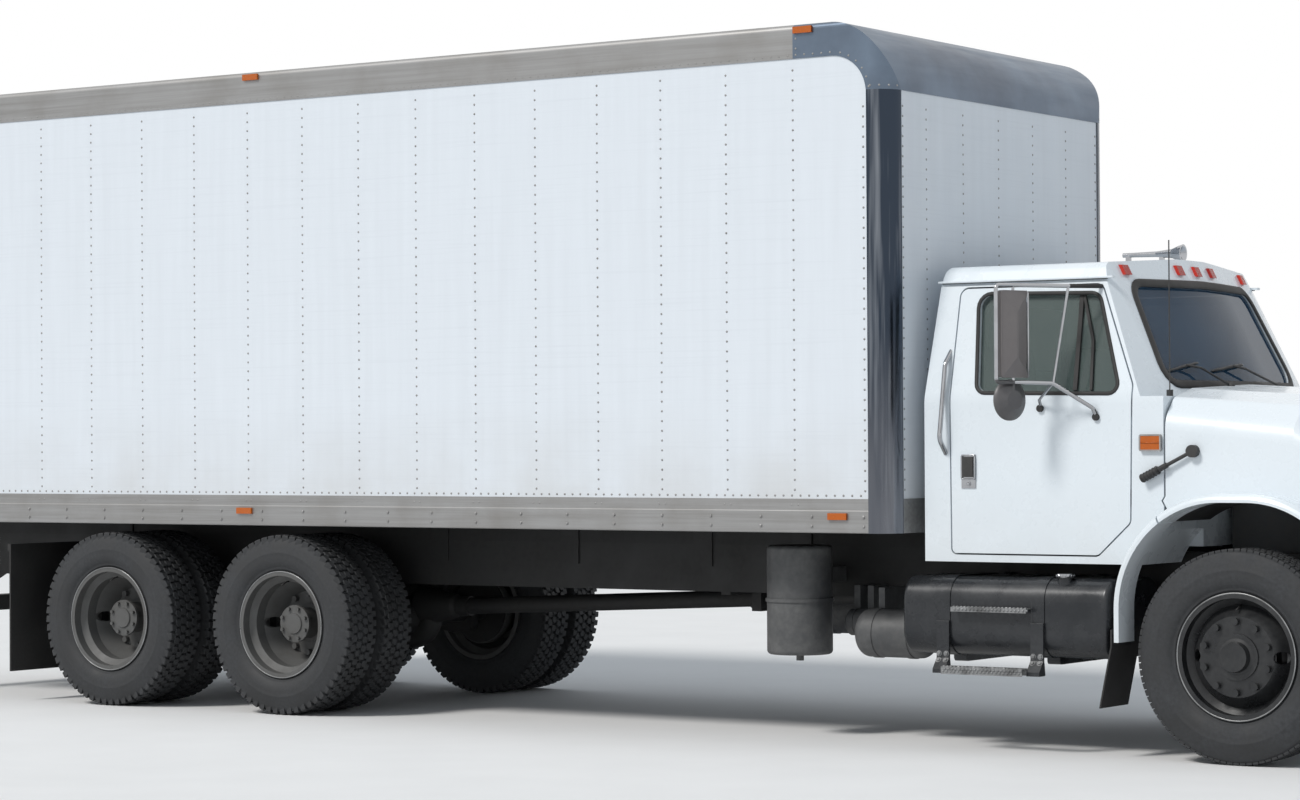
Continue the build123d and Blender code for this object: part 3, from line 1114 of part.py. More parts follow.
def mud_flap(side):
    x = X_BODY - 6098
    flap = box(x, x + 12, side * 640, side * 1238, 176, 940)
    bar = box(x - 14, x, side * BRACKET_Y, side * 1238, 900, 940)
    return [flap, bar]


def splash_flap():
    """The rubber flap behind the left front wheel, hung from the flare."""
    x = FRONT_AXLE_X - 588 - LIP[0][1]
    shape = [(x, STRIP_BOTTOM + 60), (x - 8, STRIP_BOTTOM + 60), (x - 8, STRIP_BOTTOM - 20), (x - 70, 242), (x - 62, 242),
             (x, STRIP_BOTTOM - 22)]
    return prism("y", shape, 850, 1150)


def rear_bumper():
    bar = box(X_REAR + 10, X_REAR + 110, -1060, 1060, 470, 570)
    bar = fillet(bar.edges().filter_by(Axis.Y), 10)
    posts = []
    for side in (-1, 1):
        posts.append(box(X_REAR + 24, X_REAR + 96, *sorted((side * SILL_Y[0], side * SILL_Y[1])), 570, RAIL_TOP))
        brace = [(X_REAR + 96, 640), (X_REAR + 96, 590), (RAIL_REAR + 30, RAIL_BOTTOM), (RAIL_REAR, RAIL_BOTTOM), (RAIL_REAR, RAIL_BOTTOM + 60)]
        posts.append(prism("y", brace, *sorted((side * (SILL_Y[0] + 4), side * (SILL_Y[1] - 4)))))
    return joined([bar, *posts])


MARKER = (110.0, 14.0, 34.0)
BODY_MARKERS = ((-497.0, BODY_TOP - 31.0), (-4188.0, BODY_TOP - 31.0), (-307.0, BODY_BOTTOM + 84.0), (-4245.0, BODY_BOTTOM + 84.0))


def marker(x, y0, y1, z, length=MARKER[0], height=MARKER[2]):
    body = box(x - length / 2, x + length / 2, y0, y1, z - height / 2, z + height / 2)
    return body


def body_markers():
    found = []
    for x, z in BODY_MARKERS:
        for side in (-1, 1):
            found.append(marker(X_BODY + x, side * BODY_HALF_WIDTH, side * (BODY_HALF_WIDTH + MARKER[1]), z))
    return found


def tail_lamps():
    found = []
    for side in (-1, 1):
        for y, z in ((980, 1128), (860, 1128)):
            found.append(cyl("x", (side * y, z), 50, X_REAR - 16, X_REAR))
    for y in (-180, 0, 180):
        found.append(box(X_REAR - 14, X_REAR, y - 40, y + 40, 3560, 3590))
    return found


# Cab fittings
ROOF_LAMP = (56.0, 50.0, 16.0)
ROOF_LAMPS = ((-691.0, 2374.0), (-190.0, 2388.0), (0.0, 2388.0), (190.0, 2388.0), (691.0, 2374.0))


def roof_markers():
    """Five lamps that follow the roof's brow. Each place is its y and its height."""
    width, height, rise = ROOF_LAMP
    brow = cab_hull(-rise) - cab_hull(0)
    lamps = []
    for y, z in ROOF_LAMPS:
        lamps.append(common(brow, box(X_BODY + 960, COWL_FRONT, y - width / 2, y + width / 2, z - height / 2, z + height / 2)))
    return lamps


def door_handle(side):
    y = CAB_HALF_WIDTH
    plate = box(X_BODY + 286, X_BODY + 366, side * y, side * (y + 5), 1296, 1464)
    lever = box(X_BODY + 296, X_BODY + 356, side * (y + 5), side * (y + 17), 1352, 1452)
    lock = cyl("y", (X_BODY + 326, 1318), 13, *sorted((side * (y + 5), side * (y + 9))))
    return [joined([plate, lever, lock])]


def grab_handle():
    x0 = x1 = X_BODY + 193
    y = CAB_HALF_WIDTH
    lean = 66.0
    points = [(x0, y - 4, 1470), (x0, y + 62, 1540), (x1, y + 62 - lean, 1920), (x1, y - 4 - lean, 1985)]
    return rod(points, 12, 60) - cab_hull(0)


MIRROR_Y = CAB_HALF_WIDTH + 250.0
MIRROR_X = X_BODY + 712.0
MIRROR_Z = 2050.0
MIRROR_TURN = 20.0
MIRROR_HEAD = (178.0, 424.0, 30.0)
ROUND_MIRROR_RADIUS = 100.0
ROUND_MIRROR_Z = 1730.0
MIRROR_TUBE = 10.0


def mirror():
    """The left door's mirrors. The glass faces back and a little toward the cab, and a tube passes
    round the head's outer edge from the door's top corner to its foot on the door."""
    width, height, depth = MIRROR_HEAD
    aim = Pos(MIRROR_X, MIRROR_Y, MIRROR_Z) * Rot(0, 0, MIRROR_TURN)
    head = aim * fillet(Box(depth, width, height).edges().filter_by(Axis.X), 16)
    rise = 18.0
    hip = Solid.make_loft([outline("x", [(-a, -b), (a, -b), (a, b), (-a, b)], level)
                           for level, a, b in ((depth / 2, width / 2 - 8, height / 2 - 8), (depth / 2 + rise, 6, height / 2 - 96))], ruled=True)
    glass = aim * Pos(-depth / 2 - 2, 0, 0) * Box(4, width - 16, height - 16)
    bowl_place = Pos(MIRROR_X - 6, MIRROR_Y, ROUND_MIRROR_Z) * Rot(0, 0, MIRROR_TURN) * Rot(0, 90, 0)
    bowl = bowl_place * Cone(ROUND_MIRROR_RADIUS, 46, 34)
    rim_band = bowl_place * Pos(0, 0, -22) * Cylinder(ROUND_MIRROR_RADIUS, 10)
    round_glass = bowl_place * Pos(0, 0, -29) * Cylinder(ROUND_MIRROR_RADIUS - 8, 4)
    reach = width / 2 + MIRROR_TUBE + 12
    edge_x = MIRROR_X - reach * sin(radians(MIRROR_TURN))
    edge_y = MIRROR_Y + reach * cos(radians(MIRROR_TURN))
    top, low = MIRROR_Z + height / 2 + 26, MIRROR_Z - height / 2 - 22
    elbow = (X_BODY + 866, 1140, low - 6)
    tube = rod([(X_BODY + 1000, 872, 2288), (X_BODY + 914, 1062, top - 3), (MIRROR_X, MIRROR_Y, top), (edge_x, edge_y, top),
                (edge_x, edge_y, low), (MIRROR_X, MIRROR_Y, low), elbow, (X_BODY + 1026, 1030, 1688), (X_BODY + 1032, 996, 1640)],
               MIRROR_TUBE, 20)
    stay = rod([(X_BODY + 914, 1062, top - 3), (X_BODY + 868, 1138, low)], 7)
    foot = rod([elbow, (X_BODY + 738, 1040, 1730), (X_BODY + 728, 996, 1684)], 7, 12)
    pads = [cyl("y", (x, z), 17, CAB_HALF_WIDTH, CAB_HALF_WIDTH + 14) for x, z in ((X_BODY + 1032, 1645), (X_BODY + 728, 1690))]
    studs = [cyl("z", (MIRROR_X, MIRROR_Y), 7, *ends) for ends in ((MIRROR_Z + height / 2 - 6, top), (low, MIRROR_Z - height / 2 + 6))]
    hanger = cyl("z", (MIRROR_X, MIRROR_Y), 7, ROUND_MIRROR_Z, low)
    return [joined([head, aim * hip, tube, stay, foot, *pads, *studs, hanger, bowl, rim_band]), glass, round_glass]


def seat(y):
    cushion = Pos(X_BODY + 520, y, FLOOR_TOP + 330) * Box(480, 500, 130)
    cushion = fillet(cushion.edges(), 40)
    back = Pos(X_BODY + 290, y, FLOOR_TOP + 690) * Rot(0, -8, 0) * Box(130, 480, 640)
    back = fillet(back.edges(), 45)
    base = box(X_BODY + 330, X_BODY + 700, y - 190, y + 190, FLOOR_TOP, FLOOR_TOP + 270)
    return [cushion.fuse(back), base]


def dashboard():
    shape = [(X_BODY + 1340, 1320), (X_BODY + 1060, 1360, 40), (X_BODY + 1010, 1560, 50), (X_BODY + 1070, 1740, 50), (X_BODY + 1330, 1790)]
    panel = prism("y", shape, -880, 880)
    return common(panel, cab_cavity()) - steering_column()


WHEEL_CENTRE = (X_BODY + 860.0, 480.0, 1640.0)


def steering_wheel():
    """The hand wheel on its column, on the left."""
    plane = Plane(origin=WHEEL_CENTRE, z_dir=(-0.66, 0, 0.75))
    ring = plane * Torus(215, 15)
    hub = plane * Cylinder(48, 50)
    spokes = [plane * Rot(0, 0, a) * Pos(115, 0, 0) * Box(220, 26, 14) for a in (0, 90, 180, 270)]
    return joined([ring, hub, *spokes, steering_column()])


def steering_column():
    plane = Plane(origin=WHEEL_CENTRE, z_dir=(-0.66, 0, 0.75))
    return plane * Pos(0, 0, -200) * Cylinder(28, 400)


HORN_Z = 2490.0
HORN_Y = 60.0


def horn():
    """The trumpet on the roof, on two feet."""
    section = [(0, 0), (46, 0), (40, 22), (25, 60), (15, 150), (12, 290), (12, 340), (0, 340)]
    bell = Solid.revolve(Face(outline("y", section, 0)), 360, Axis((0, 0, 0), (0, 0, 1)))
    bell = Pos(X_BODY + 1000, HORN_Y, HORN_Z) * Rot(0, -90, 0) * bell
    mouth = Pos(X_BODY + 990, HORN_Y, HORN_Z) * Rot(0, 90, 0) * Cone(14, 38, 22)
    feet = [box(x - 12, x + 12, HORN_Y - 10, HORN_Y + 10, 2420, HORN_Z - 4) for x in (X_BODY + 880, X_BODY + 690)]
    return joined([bell, *feet]) - mouth - cab_hull(0)


def antenna():
    x, y = COWL_FRONT - 24, -880
    base = cyl("z", (x, y), 16, COWL_TOP - 80, COWL_TOP + 31)
    whip = cyl("z", (x, y), 3.0, COWL_TOP + 31, 2500)
    return joined([base, whip]) - cab_hull(0)


def shield_x(y, z):
    """The windshield's surface, on the straight part of its plan."""
    edge, crown = SHIELD_PLAN[2], SHIELD_PLAN[3]
    return crown[0] + (edge[0] - crown[0]) * abs(y) / abs(edge[1]) + SHIELD_RAKE * (z - SHIELD_FOOT)


def wipers():
    """Two arms, each from its pivot below the glass to a blade that lies along it."""
    found = []
    skin = cab_hull(0)
    for y in (-90, 600):
        inner = y - 400
        pivot = cyl("x", (y, 1796), 14, COWL_FRONT - 160, COWL_FRONT + 8) - skin
        arm = rod([(COWL_FRONT, y, 1796), (shield_x(y - 150, 1840) + 26, y - 150, 1840), (shield_x(inner, 1935) + 16, inner, 1935)], 6, 30)
        blade = rod([(shield_x(y - 180, 1856) + 9, y - 180, 1856), (shield_x(inner - 150, 1990) + 9, inner - 150, 1990)], 8)
        found.append(joined([pivot, arm - skin, blade - skin]))
    return found


LATCH_KNOB = (X_BODY + 1552.0, 1478.0)
LATCH_GRIP = (X_BODY + 1284.0, 1345.0)


def hood_latch_strap():
    """The rubber pull on the left of the hood: a knob on the hood, a thin strap and a thick grip over the cowl."""
    y = CAB_HALF_WIDTH
    (x1, z1), (x0, z0) = LATCH_KNOB, LATCH_GRIP
    knob = cyl("y", LATCH_KNOB, 30, y + 1, y + 42)
    along = Vector(x1 - x0, 0, z1 - z0).normalized()
    start = Vector(x0, y + 28, z0)
    strap = rod([tuple(start + along * 110), (x1, y + 28, z1)], 9)
    neck = rod([tuple(start + along * 60), tuple(start + along * 150)], 14)
    grip = rod([tuple(start), tuple(start + along * 100)], 20)
    return joined([knob, strap, neck, grip])


def cowl_marker():
    return box(X_BODY + 1270, X_BODY + 1378, CAB_HALF_WIDTH, CAB_HALF_WIDTH + 18, 1482, 1556)


ENGINE = dict(x0=X_BODY + 1420.0, x1=X_BODY + 2360.0, half=290.0, z0=540.0, z1=1260.0)


def engine():
    e = ENGINE
    block = box(e["x0"], e["x1"], -e["half"], e["half"], e["z0"], e["z1"])
    mounts = []
    for side in (-1, 1):
        for x in (e["x0"] + 120, e["x1"] - 120):
            mounts.append(box(x - 50, x + 50, *sorted((side * e["half"], side * (RAIL_HALF_WIDTH - RAIL_THICKNESS))), 790, 880))
    return [block, *mounts]


def radiator():
    x = RAIL_FRONT - 60
    core = box(x - 40, x + 40, -340, 340, RAIL_TOP - 40, 1500)
    tanks = [box(x - 48, x + 48, -350, 350, low, low + 60) for low in (RAIL_TOP + 10, 1440)]
    return joined([core, *tanks])


def cab_mounts():
    found = []
    for side in (-1, 1):
        for x in (CAB_BACK + 100, X_BODY + 1100):
            found.append(cyl("z", (x, side * 388), 42, RAIL_TOP, TUNNEL_TOP))
    return found


def body_clamps():
    """U-bolts and their plates that hold the longsills to the rails."""
    found = []
    for x in (X_BODY - 1000, X_BODY - 1635, X_BODY - 2527, X_BODY - 3447, X_BODY - 5900):
        for side in (-1, 1):
            found.append(box(x - 60, x + 60, *sorted((side * RAIL_HALF_WIDTH, side * (RAIL_HALF_WIDTH + 10))), RAIL_TOP - 120, BODY_BOTTOM))
    return found


# Every node, by name
def nodes():
    shell, roof = cab_parts()
    hood, liner = hood_parts()
    door, glass, wall = cab_door(), door_glass(), side_wall()
    lamp, flap, post = headlamp(), splash_flap(), body_post()
    back_door, knuckle_left = rear_door(), knuckle()
    front, back = REAR_AXLES_X
    reds, ambers = tail_lamps() + roof_markers(), body_markers() + both(cowl_marker())
    skin = cab_hull(0)
    left_fittings = [piece - skin for piece in mirror()] + door_handle(1)
    axles = [rear_axle(front, True), rear_axle(back, False)]
    found = {
        "frame_rails": [*rail_frame(), *body_clamps(), *cab_mounts()],
        "front_bumper": bumper(),
        "rear_bumper": rear_bumper(),
        "front_axle": [front_axle(), *front_springs()],
        "rear_suspension": rear_suspension(),
        "drive_axles": axles,
        "driveline": [gearbox(), drive_shafts() - axles[0] - axles[1] - gearbox()],
        "engine": engine(),
        "radiator": radiator(),
        "fuel_tank": fuel_tank(),
        "tank_straps_and_steps": [*tank_straps(), *tank_steps()],
        "air_tanks": [reservoir_can(), *air_tanks()],
        "battery_box": battery_box(),
        "exhaust": exhaust(),
        "mud_flaps": [*mud_flap(-1), *mud_flap(1), *both(flap)],
        "body_floor": body_floor(),
        "body_walls": [*both(wall), body_front_wall()],
        "body_front_cap": cap(),
        "body_front_posts": both(post),
        "body_rails": [*both(top_rail()), *both(bottom_rail()), front_sill()],
        "body_roof": body_roof(),
        "body_rear_frame": rear_frame(),
        "amber_lamps": ambers,
        "red_lamps": reds,
        "cab_shell": [*shell],
        "cab_roof": roof,
        "cab_glass": [shield(), back_glass()],
        "wipers_and_antenna": [*wipers(), antenna()],
        "horn_and_grab_handles": [horn(), *both(grab_handle())],
        "seats": [*seat(-480), *seat(480)],
        "dashboard": [dashboard(), steering_wheel()],
        "hood_shell": hood,
        "hood_liners": [*both(liner), *both(hood_latch_strap() - hood)],
        "grille": grille(),
        "headlamps": both(lamp),
        "tie_rod": tie_rod(),
    }
    for side, flip in (("left", lambda shape: shape), ("right", mirrored)):
        found[f"cab_door_{side}"] = flip(door)
        found[f"door_glass_{side}"] = flip(glass)
        found[f"door_fittings_{side}"] = [flip(piece) for piece in left_fittings]
        found[f"rear_door_{side}"] = flip(back_door)
        found[f"knuckle_{side}"] = flip(knuckle_left)
        found[f"front_wheel_{side}"] = flip(front_wheel())
        found[f"front_tyre_{side}"] = flip(tyre(FRONT_AXLE_X, FRONT_TYRE_Y))
        for place, x in (("forward", front), ("rear", back)):
            found[f"{place}_wheel_{side}"] = flip(rear_wheel(x))
            found[f"{place}_tyres_{side}"] = [flip(tyre(x, y)) for y in DUAL_TYRE_Y]
    return found


for name, pieces in nodes().items():
    export(name, pieces)
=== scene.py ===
# %% [markdown]
# # A box truck, dressed in Blender
# The truck's solids come from CAD and already have the right sizes and joints. This lesson gives
# them paint, metal, glass and rubber, and adds what a CAD part leaves out: tyre treads, rivets,
# bolts, seals, trim and seat covers.

# %% Load the frame
import json
import math
import bpy
import bmesh
from mathutils import Matrix, Vector
from mathutils.bvhtree import BVHTree


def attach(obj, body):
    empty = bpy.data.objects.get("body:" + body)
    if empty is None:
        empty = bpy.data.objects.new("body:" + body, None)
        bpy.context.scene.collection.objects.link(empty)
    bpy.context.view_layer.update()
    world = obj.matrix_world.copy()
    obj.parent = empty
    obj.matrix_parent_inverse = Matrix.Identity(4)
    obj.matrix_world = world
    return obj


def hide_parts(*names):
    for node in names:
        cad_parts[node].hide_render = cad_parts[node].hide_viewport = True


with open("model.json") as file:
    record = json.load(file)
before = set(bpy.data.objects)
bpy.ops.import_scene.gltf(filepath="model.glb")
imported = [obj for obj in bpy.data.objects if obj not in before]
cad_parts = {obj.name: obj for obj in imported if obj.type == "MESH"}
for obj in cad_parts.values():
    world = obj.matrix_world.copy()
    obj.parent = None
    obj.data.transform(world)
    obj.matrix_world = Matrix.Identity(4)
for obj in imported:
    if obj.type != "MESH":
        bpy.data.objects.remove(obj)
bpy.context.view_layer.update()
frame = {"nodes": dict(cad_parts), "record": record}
nodes = frame["nodes"]

# %% [markdown]
# ## The camera
# The picture was taken from the right front, standing, with a long lens. The camera is placed by
# its position and three angles. A long lens far away keeps the van body's lines nearly parallel,
# which a short lens near the truck would not.

# %% Camera
CAMERA_PLACE = Vector((10.617, -15.597, 1.547))
CAMERA_YAW, CAMERA_PITCH, CAMERA_ROLL = 0.5974, 0.0119, -0.0053
LENS_MM, SENSOR_WIDTH_MM = 92.07, 36.0
VIEW_DEPTH = 300.0


def put_in_scene(name, data):
    """An object that shows a mesh, a lamp or a camera."""
    obj = bpy.data.objects.new(name, data)
    bpy.context.scene.collection.objects.link(obj)
    return obj


camera_data = bpy.data.cameras.new("camera")
camera_data.lens = LENS_MM
camera_data.sensor_width = SENSOR_WIDTH_MM
camera_data.clip_end = VIEW_DEPTH
camera = put_in_scene("camera", camera_data)
level_ahead = Vector((-math.sin(CAMERA_YAW), math.cos(CAMERA_YAW), 0.0))
level_right = Vector((math.cos(CAMERA_YAW), math.sin(CAMERA_YAW), 0.0))
ahead = level_ahead * math.cos(CAMERA_PITCH) + Vector((0.0, 0.0, math.sin(CAMERA_PITCH)))
level_up = level_right.cross(ahead)
right = level_right * math.cos(CAMERA_ROLL) + level_up * math.sin(CAMERA_ROLL)
up = level_up * math.cos(CAMERA_ROLL) - level_right * math.sin(CAMERA_ROLL)
aim = Matrix((right, up, -ahead)).transposed().to_4x4()
camera.matrix_world = Matrix.Translation(CAMERA_PLACE) @ aim
bpy.context.scene.camera = camera
bpy.context.scene.view_settings.view_transform = "Standard"
print("camera looks along", tuple(round(v, 3) for v in ahead))

# %% [markdown]
# ## Building a material
# Every finish is a Principled shader. What is the same all over a surface, such as metalness, is
# set on the shader's own socket. What varies, such as dust, comes from noise read at Object
# coordinates, so it stays on the part when the part moves. A small class keeps each finish
# readable: its methods make a pattern, turn it into a range, mix two colours by it, and set the
# result on the shader.

# %% A class for finishes
EVEN = (1.0, 1.0, 1.0)


class Finish:
    """A material with its even values on the shader's own sockets."""

    def __init__(self, name, colour, roughness, **constants):
        self.material = bpy.data.materials.new(name)
        self.material.use_nodes = True
        self.material.diffuse_color = (*colour, 1.0)
        self.shader = self.material.node_tree.nodes["Principled BSDF"]
        self.shader.inputs["Base Color"].default_value = (*colour, 1.0)
        self.shader.inputs["Roughness"].default_value = roughness
        for key, value in constants.items():
            self.shader.inputs[key.replace("_", " ")].default_value = value

    def add_node(self, kind, **values):
        """A shader node, with its inputs and settings given by name."""
        made = self.material.node_tree.nodes.new("ShaderNode" + kind)
        for key, value in values.items():
            socket = key.replace("_", " ")
            if socket in made.inputs:
                made.inputs[socket].default_value = value
            else:
                setattr(made, key, value)
        return made

    def wire(self, source, target):
        self.material.node_tree.links.new(source, target)

    def place_at(self, stretch=EVEN):
        """Object coordinates, stretched along the axes."""
        mapping = self.add_node("Mapping", Scale=stretch)
        self.wire(self.add_node("TexCoord").outputs["Object"], mapping.inputs["Vector"])
        return mapping.outputs["Vector"]

    def noise(self, scale, detail=3.0, stretch=EVEN, rough=0.55):
        made = self.add_node("TexNoise", Scale=scale, Detail=detail, Roughness=rough)
        self.wire(self.place_at(stretch), made.inputs["Vector"])
        return made.outputs["Fac"]

    def wave(self, scale, axis, **values):
        """Soft ribs that follow each other along an axis."""
        made = self.add_node("TexWave", Scale=scale, bands_direction=axis, **values)
        self.wire(self.place_at(), made.inputs["Vector"])
        return made.outputs["Fac"]

    def spread(self, pattern, low, high, start=0.3, end=0.7):
        """The pattern's middle range turned into low to high."""
        made = self.add_node("MapRange", From_Min=start, From_Max=end, To_Min=low, To_Max=high)
        self.wire(pattern, made.inputs["Value"])
        return made.outputs["Result"]

    def cloud(self, low, high, scale, detail=3.0, stretch=EVEN, start=0.3, end=0.7):
        """A noise pattern turned into low to high."""
        return self.spread(self.noise(scale, detail, stretch), low, high, start, end)

    def height_fade(self, low_z, high_z, at_low):
        """A value that goes from at_low to zero between two heights."""
        split = self.add_node("SeparateXYZ")
        self.wire(self.place_at(), split.inputs["Vector"])
        return self.spread(split.outputs["Z"], at_low, 0.0, low_z, high_z)

    def times(self, a, b):
        made = self.add_node("Math", operation="MULTIPLY")
        self.wire(a, made.inputs[0])
        self.wire(b, made.inputs[1])
        return made.outputs["Value"]

    def mixed(self, amount, first, second):
        """A colour between first and second. Each is a colour or another mix's output."""
        made = self.add_node("Mix", data_type="RGBA")
        self.wire(amount, made.inputs[0])
        for socket, value in ((made.inputs[6], first), (made.inputs[7], second)):
            if isinstance(value, tuple):
                socket.default_value = (*value, 1.0)
            else:
                self.wire(value, socket)
        return made.outputs[2]

    def set_colour(self, output):
        self.wire(output, self.shader.inputs["Base Color"])

    def set_roughness(self, output):
        self.wire(output, self.shader.inputs["Roughness"])

    def set_bump(self, height, distance, strength):
        made = self.add_node("Bump", Distance=distance, Strength=strength)
        self.wire(height, made.inputs["Height"])
        self.wire(made.outputs["Normal"], self.shader.inputs["Normal"])


def two_tone(name, roughness, first, second, amount, shine, **constants):
    """A finish between two colours. The values of its two clouds are given in amount and shine."""
    f = Finish(name, first, roughness, **constants)
    f.set_colour(f.mixed(f.cloud(*amount), first, second))
    f.set_roughness(f.cloud(*shine))
    return f


finishes = {}


def extra_finish(name, material):
    """A finish the CAD record has no slot for, kept by its name with the others."""
    finishes[name] = material


# %% [markdown]
# ## Paint
# The cab is glossy white. Sprayed paint is never flat: it has a faint ripple, called orange peel,
# and a road truck carries dust low on its panels. The van body's panels are a cooler, duller
# white. They are thin sheets pulled in at each row of rivets, so a broad soft bump between the
# rows gives them their slight waviness, and long streaks run down them where rain has dried.

# %% White paints
def cab_paint():
    white = (0.745, 0.80, 0.842)
    f = Finish("cab_white_paint", white, 0.28, Coat_Weight=0.35, Coat_Roughness=0.08)
    dust = f.times(f.height_fade(0.55, 1.35, 0.34), f.cloud(0.35, 1.0, 5.0, 6.0))
    clean = f.mixed(f.cloud(0.0, 1.0, 1.3), white, (0.715, 0.775, 0.82))
    f.set_colour(f.mixed(dust, clean, (0.42, 0.39, 0.35)))
    f.set_roughness(f.cloud(0.22, 0.36, 9.0, 5.0))
    f.set_bump(f.noise(160.0, 2.0), 0.0006, 0.35)
    return f.material


def panel_paint():
    white = (0.72, 0.765, 0.815)
    f = Finish("van_panel_paint", white, 0.42)
    streak = f.cloud(0.0, 0.5, 2.6, 5.0, (7.0, 7.0, 0.35))
    clean = f.mixed(streak, white, (0.66, 0.70, 0.745))
    scuff = f.cloud(0.0, 0.35, 3.0, 6.0, (0.5, 0.5, 26.0), 0.52, 0.78)
    scuffed = f.mixed(scuff, clean, (0.62, 0.66, 0.71))
    low_dust = f.times(f.height_fade(1.25, 1.75, 0.40), f.cloud(0.1, 1.0, 2.2, 6.0))
    f.set_colour(f.mixed(low_dust, scuffed, (0.47, 0.45, 0.42)))
    f.set_roughness(f.cloud(0.34, 0.5, 6.0, 5.0))
    f.set_bump(f.noise(2.2, 1.0, (1.1, 1.0, 0.6)), 0.01, 0.25)
    return f.material


finishes["cab_white"] = cab_paint()
finishes["panel_white"] = panel_paint()
print("white paints", len(finishes))

# %% [markdown]
# ## Bare metal
# The van body's rails are extruded aluminium: long fine lines run along them, so the noise is
# stretched along X. The cap is pressed sheet with a satin face, its dark blue grey a painted sky
# reflection. The corner posts are polished stainless, almost a mirror, coloured with painted
# reflection: dark blue grey with lighter upright streaks, and lighter low down. A roughness near
# 0.1 and a very broad bump give it the slightly bent reflections of thin sheet.

# %% Metals
def rail_metal():
    grey = (0.34, 0.34, 0.34)
    f = Finish("rail_aluminium", grey, 0.5, Metallic=0.7)
    line = f.noise(30.0, 4.0, (0.04, 1.0, 1.6))
    stain = f.cloud(0.0, 0.5, 3.4, 6.0, EVEN, 0.45, 0.75)
    brushed = f.mixed(f.spread(line, 0.0, 1.0), grey, (0.27, 0.268, 0.265))
    f.set_colour(f.mixed(stain, brushed, (0.21, 0.20, 0.185)))
    f.set_roughness(f.spread(line, 0.36, 0.58))
    f.set_bump(line, 0.0006, 0.5)
    return f.material


def cap_metal():
    amount, shine = (0.0, 1.0, 2.5, 5.0), (0.3, 0.46, 14.0, 5.0, (1.0, 0.12, 1.0))
    # Both colours are painted sky reflection, a darkened blue grey where the sheet itself is grey.
    blue, deep = (0.155, 0.20, 0.26), (0.10, 0.125, 0.165)
    f = two_tone("cap_satin_sheet", 0.38, blue, deep, amount, shine, Metallic=0.8)
    f.set_bump(f.noise(1.6, 1.0), 0.01, 0.2)
    return f.material


def post_metal():
    # The colour is painted reflection: a dark blue grey, lighter upright streaks and a lighter part low down.
    grey = (0.040, 0.052, 0.072)
    f = Finish("post_polished_sheet", grey, 0.14, Metallic=1.0)
    streak = f.cloud(0.0, 1.0, 7.0, 3.0, (3.0, 3.0, 0.12), 0.5, 0.72)
    painted_low_reflection = f.times(f.height_fade(1.15, 2.1, 0.85), f.cloud(0.55, 1.0, 3.0, 3.0, (4.0, 4.0, 0.3)))
    dark = f.mixed(streak, grey, (0.22, 0.24, 0.27))
    f.set_colour(f.mixed(painted_low_reflection, dark, (0.21, 0.215, 0.235)))
    f.set_roughness(f.cloud(0.12, 0.3, 5.0, 5.0, (3.0, 3.0, 0.25)))
    f.set_bump(f.noise(4.0, 1.0, (1.0, 1.0, 0.3)), 0.01, 0.15)
    return f.material


def chrome_metal():
    smear_and_reflection = (9.0, 6.0, (0.5, 0.5, 1.5))
    amount, shine = (0.0, 0.45, *smear_and_reflection, 0.4, 0.8), (0.07, 0.17, *smear_and_reflection)
    # Both colours are painted reflection: chrome darkened to a mid grey, with darker patches of painted
    # reflection.
    bright, dull = (0.44, 0.45, 0.47), (0.22, 0.22, 0.225)
    return two_tone("chrome_plate", 0.1, bright, dull, amount, shine, Metallic=1.0).material


def fitting_metal():
    amount, shine = (0.0, 1.0, 26.0, 5.0), (0.22, 0.45, 26.0, 5.0)
    grey, brown = (0.40, 0.395, 0.39), (0.27, 0.255, 0.25)
    return two_tone("fitting_steel", 0.32, grey, brown, amount, shine, Metallic=0.85).material


finishes["rail_aluminium"] = rail_metal()
finishes["cap_satin"] = cap_metal()
finishes["polished_post"] = post_metal()
finishes["chrome"] = chrome_metal()
finishes["fitting_steel"] = fitting_metal()
print("metals", len(finishes) - 2)

# %% [markdown]
# ## Dusty paint, iron and rubber
# Everything under the truck is dark and dusty. The dust is the same on all of it, so one function
# lays dust over any dark finish, in the hollows of a noise pattern. The
# differences between parts are their own colour, gloss and how thick the dust is.

# %% Dark finishes
def dusty(name, clean, dust, dust_amount, roughness, grain, depth=0.0006, **constants):
    """A clean colour under dust, which lies thicker in the hollows of a noise pattern."""
    f = Finish(name, clean, roughness, **constants)
    patch = f.noise(4.0, 8.0, rough=0.62)
    fine = f.noise(grain, 6.0)
    thin = f.spread(fine, 0.45 * dust_amount, dust_amount)
    amount = f.times(f.spread(patch, 0.15, 1.0, 0.35, 0.65), thin)
    f.set_colour(f.mixed(amount, clean, dust))
    f.set_roughness(f.spread(patch, roughness - 0.08, min(roughness + 0.22, 0.95)))
    f.set_bump(fine, depth, 0.6)
    return f.material


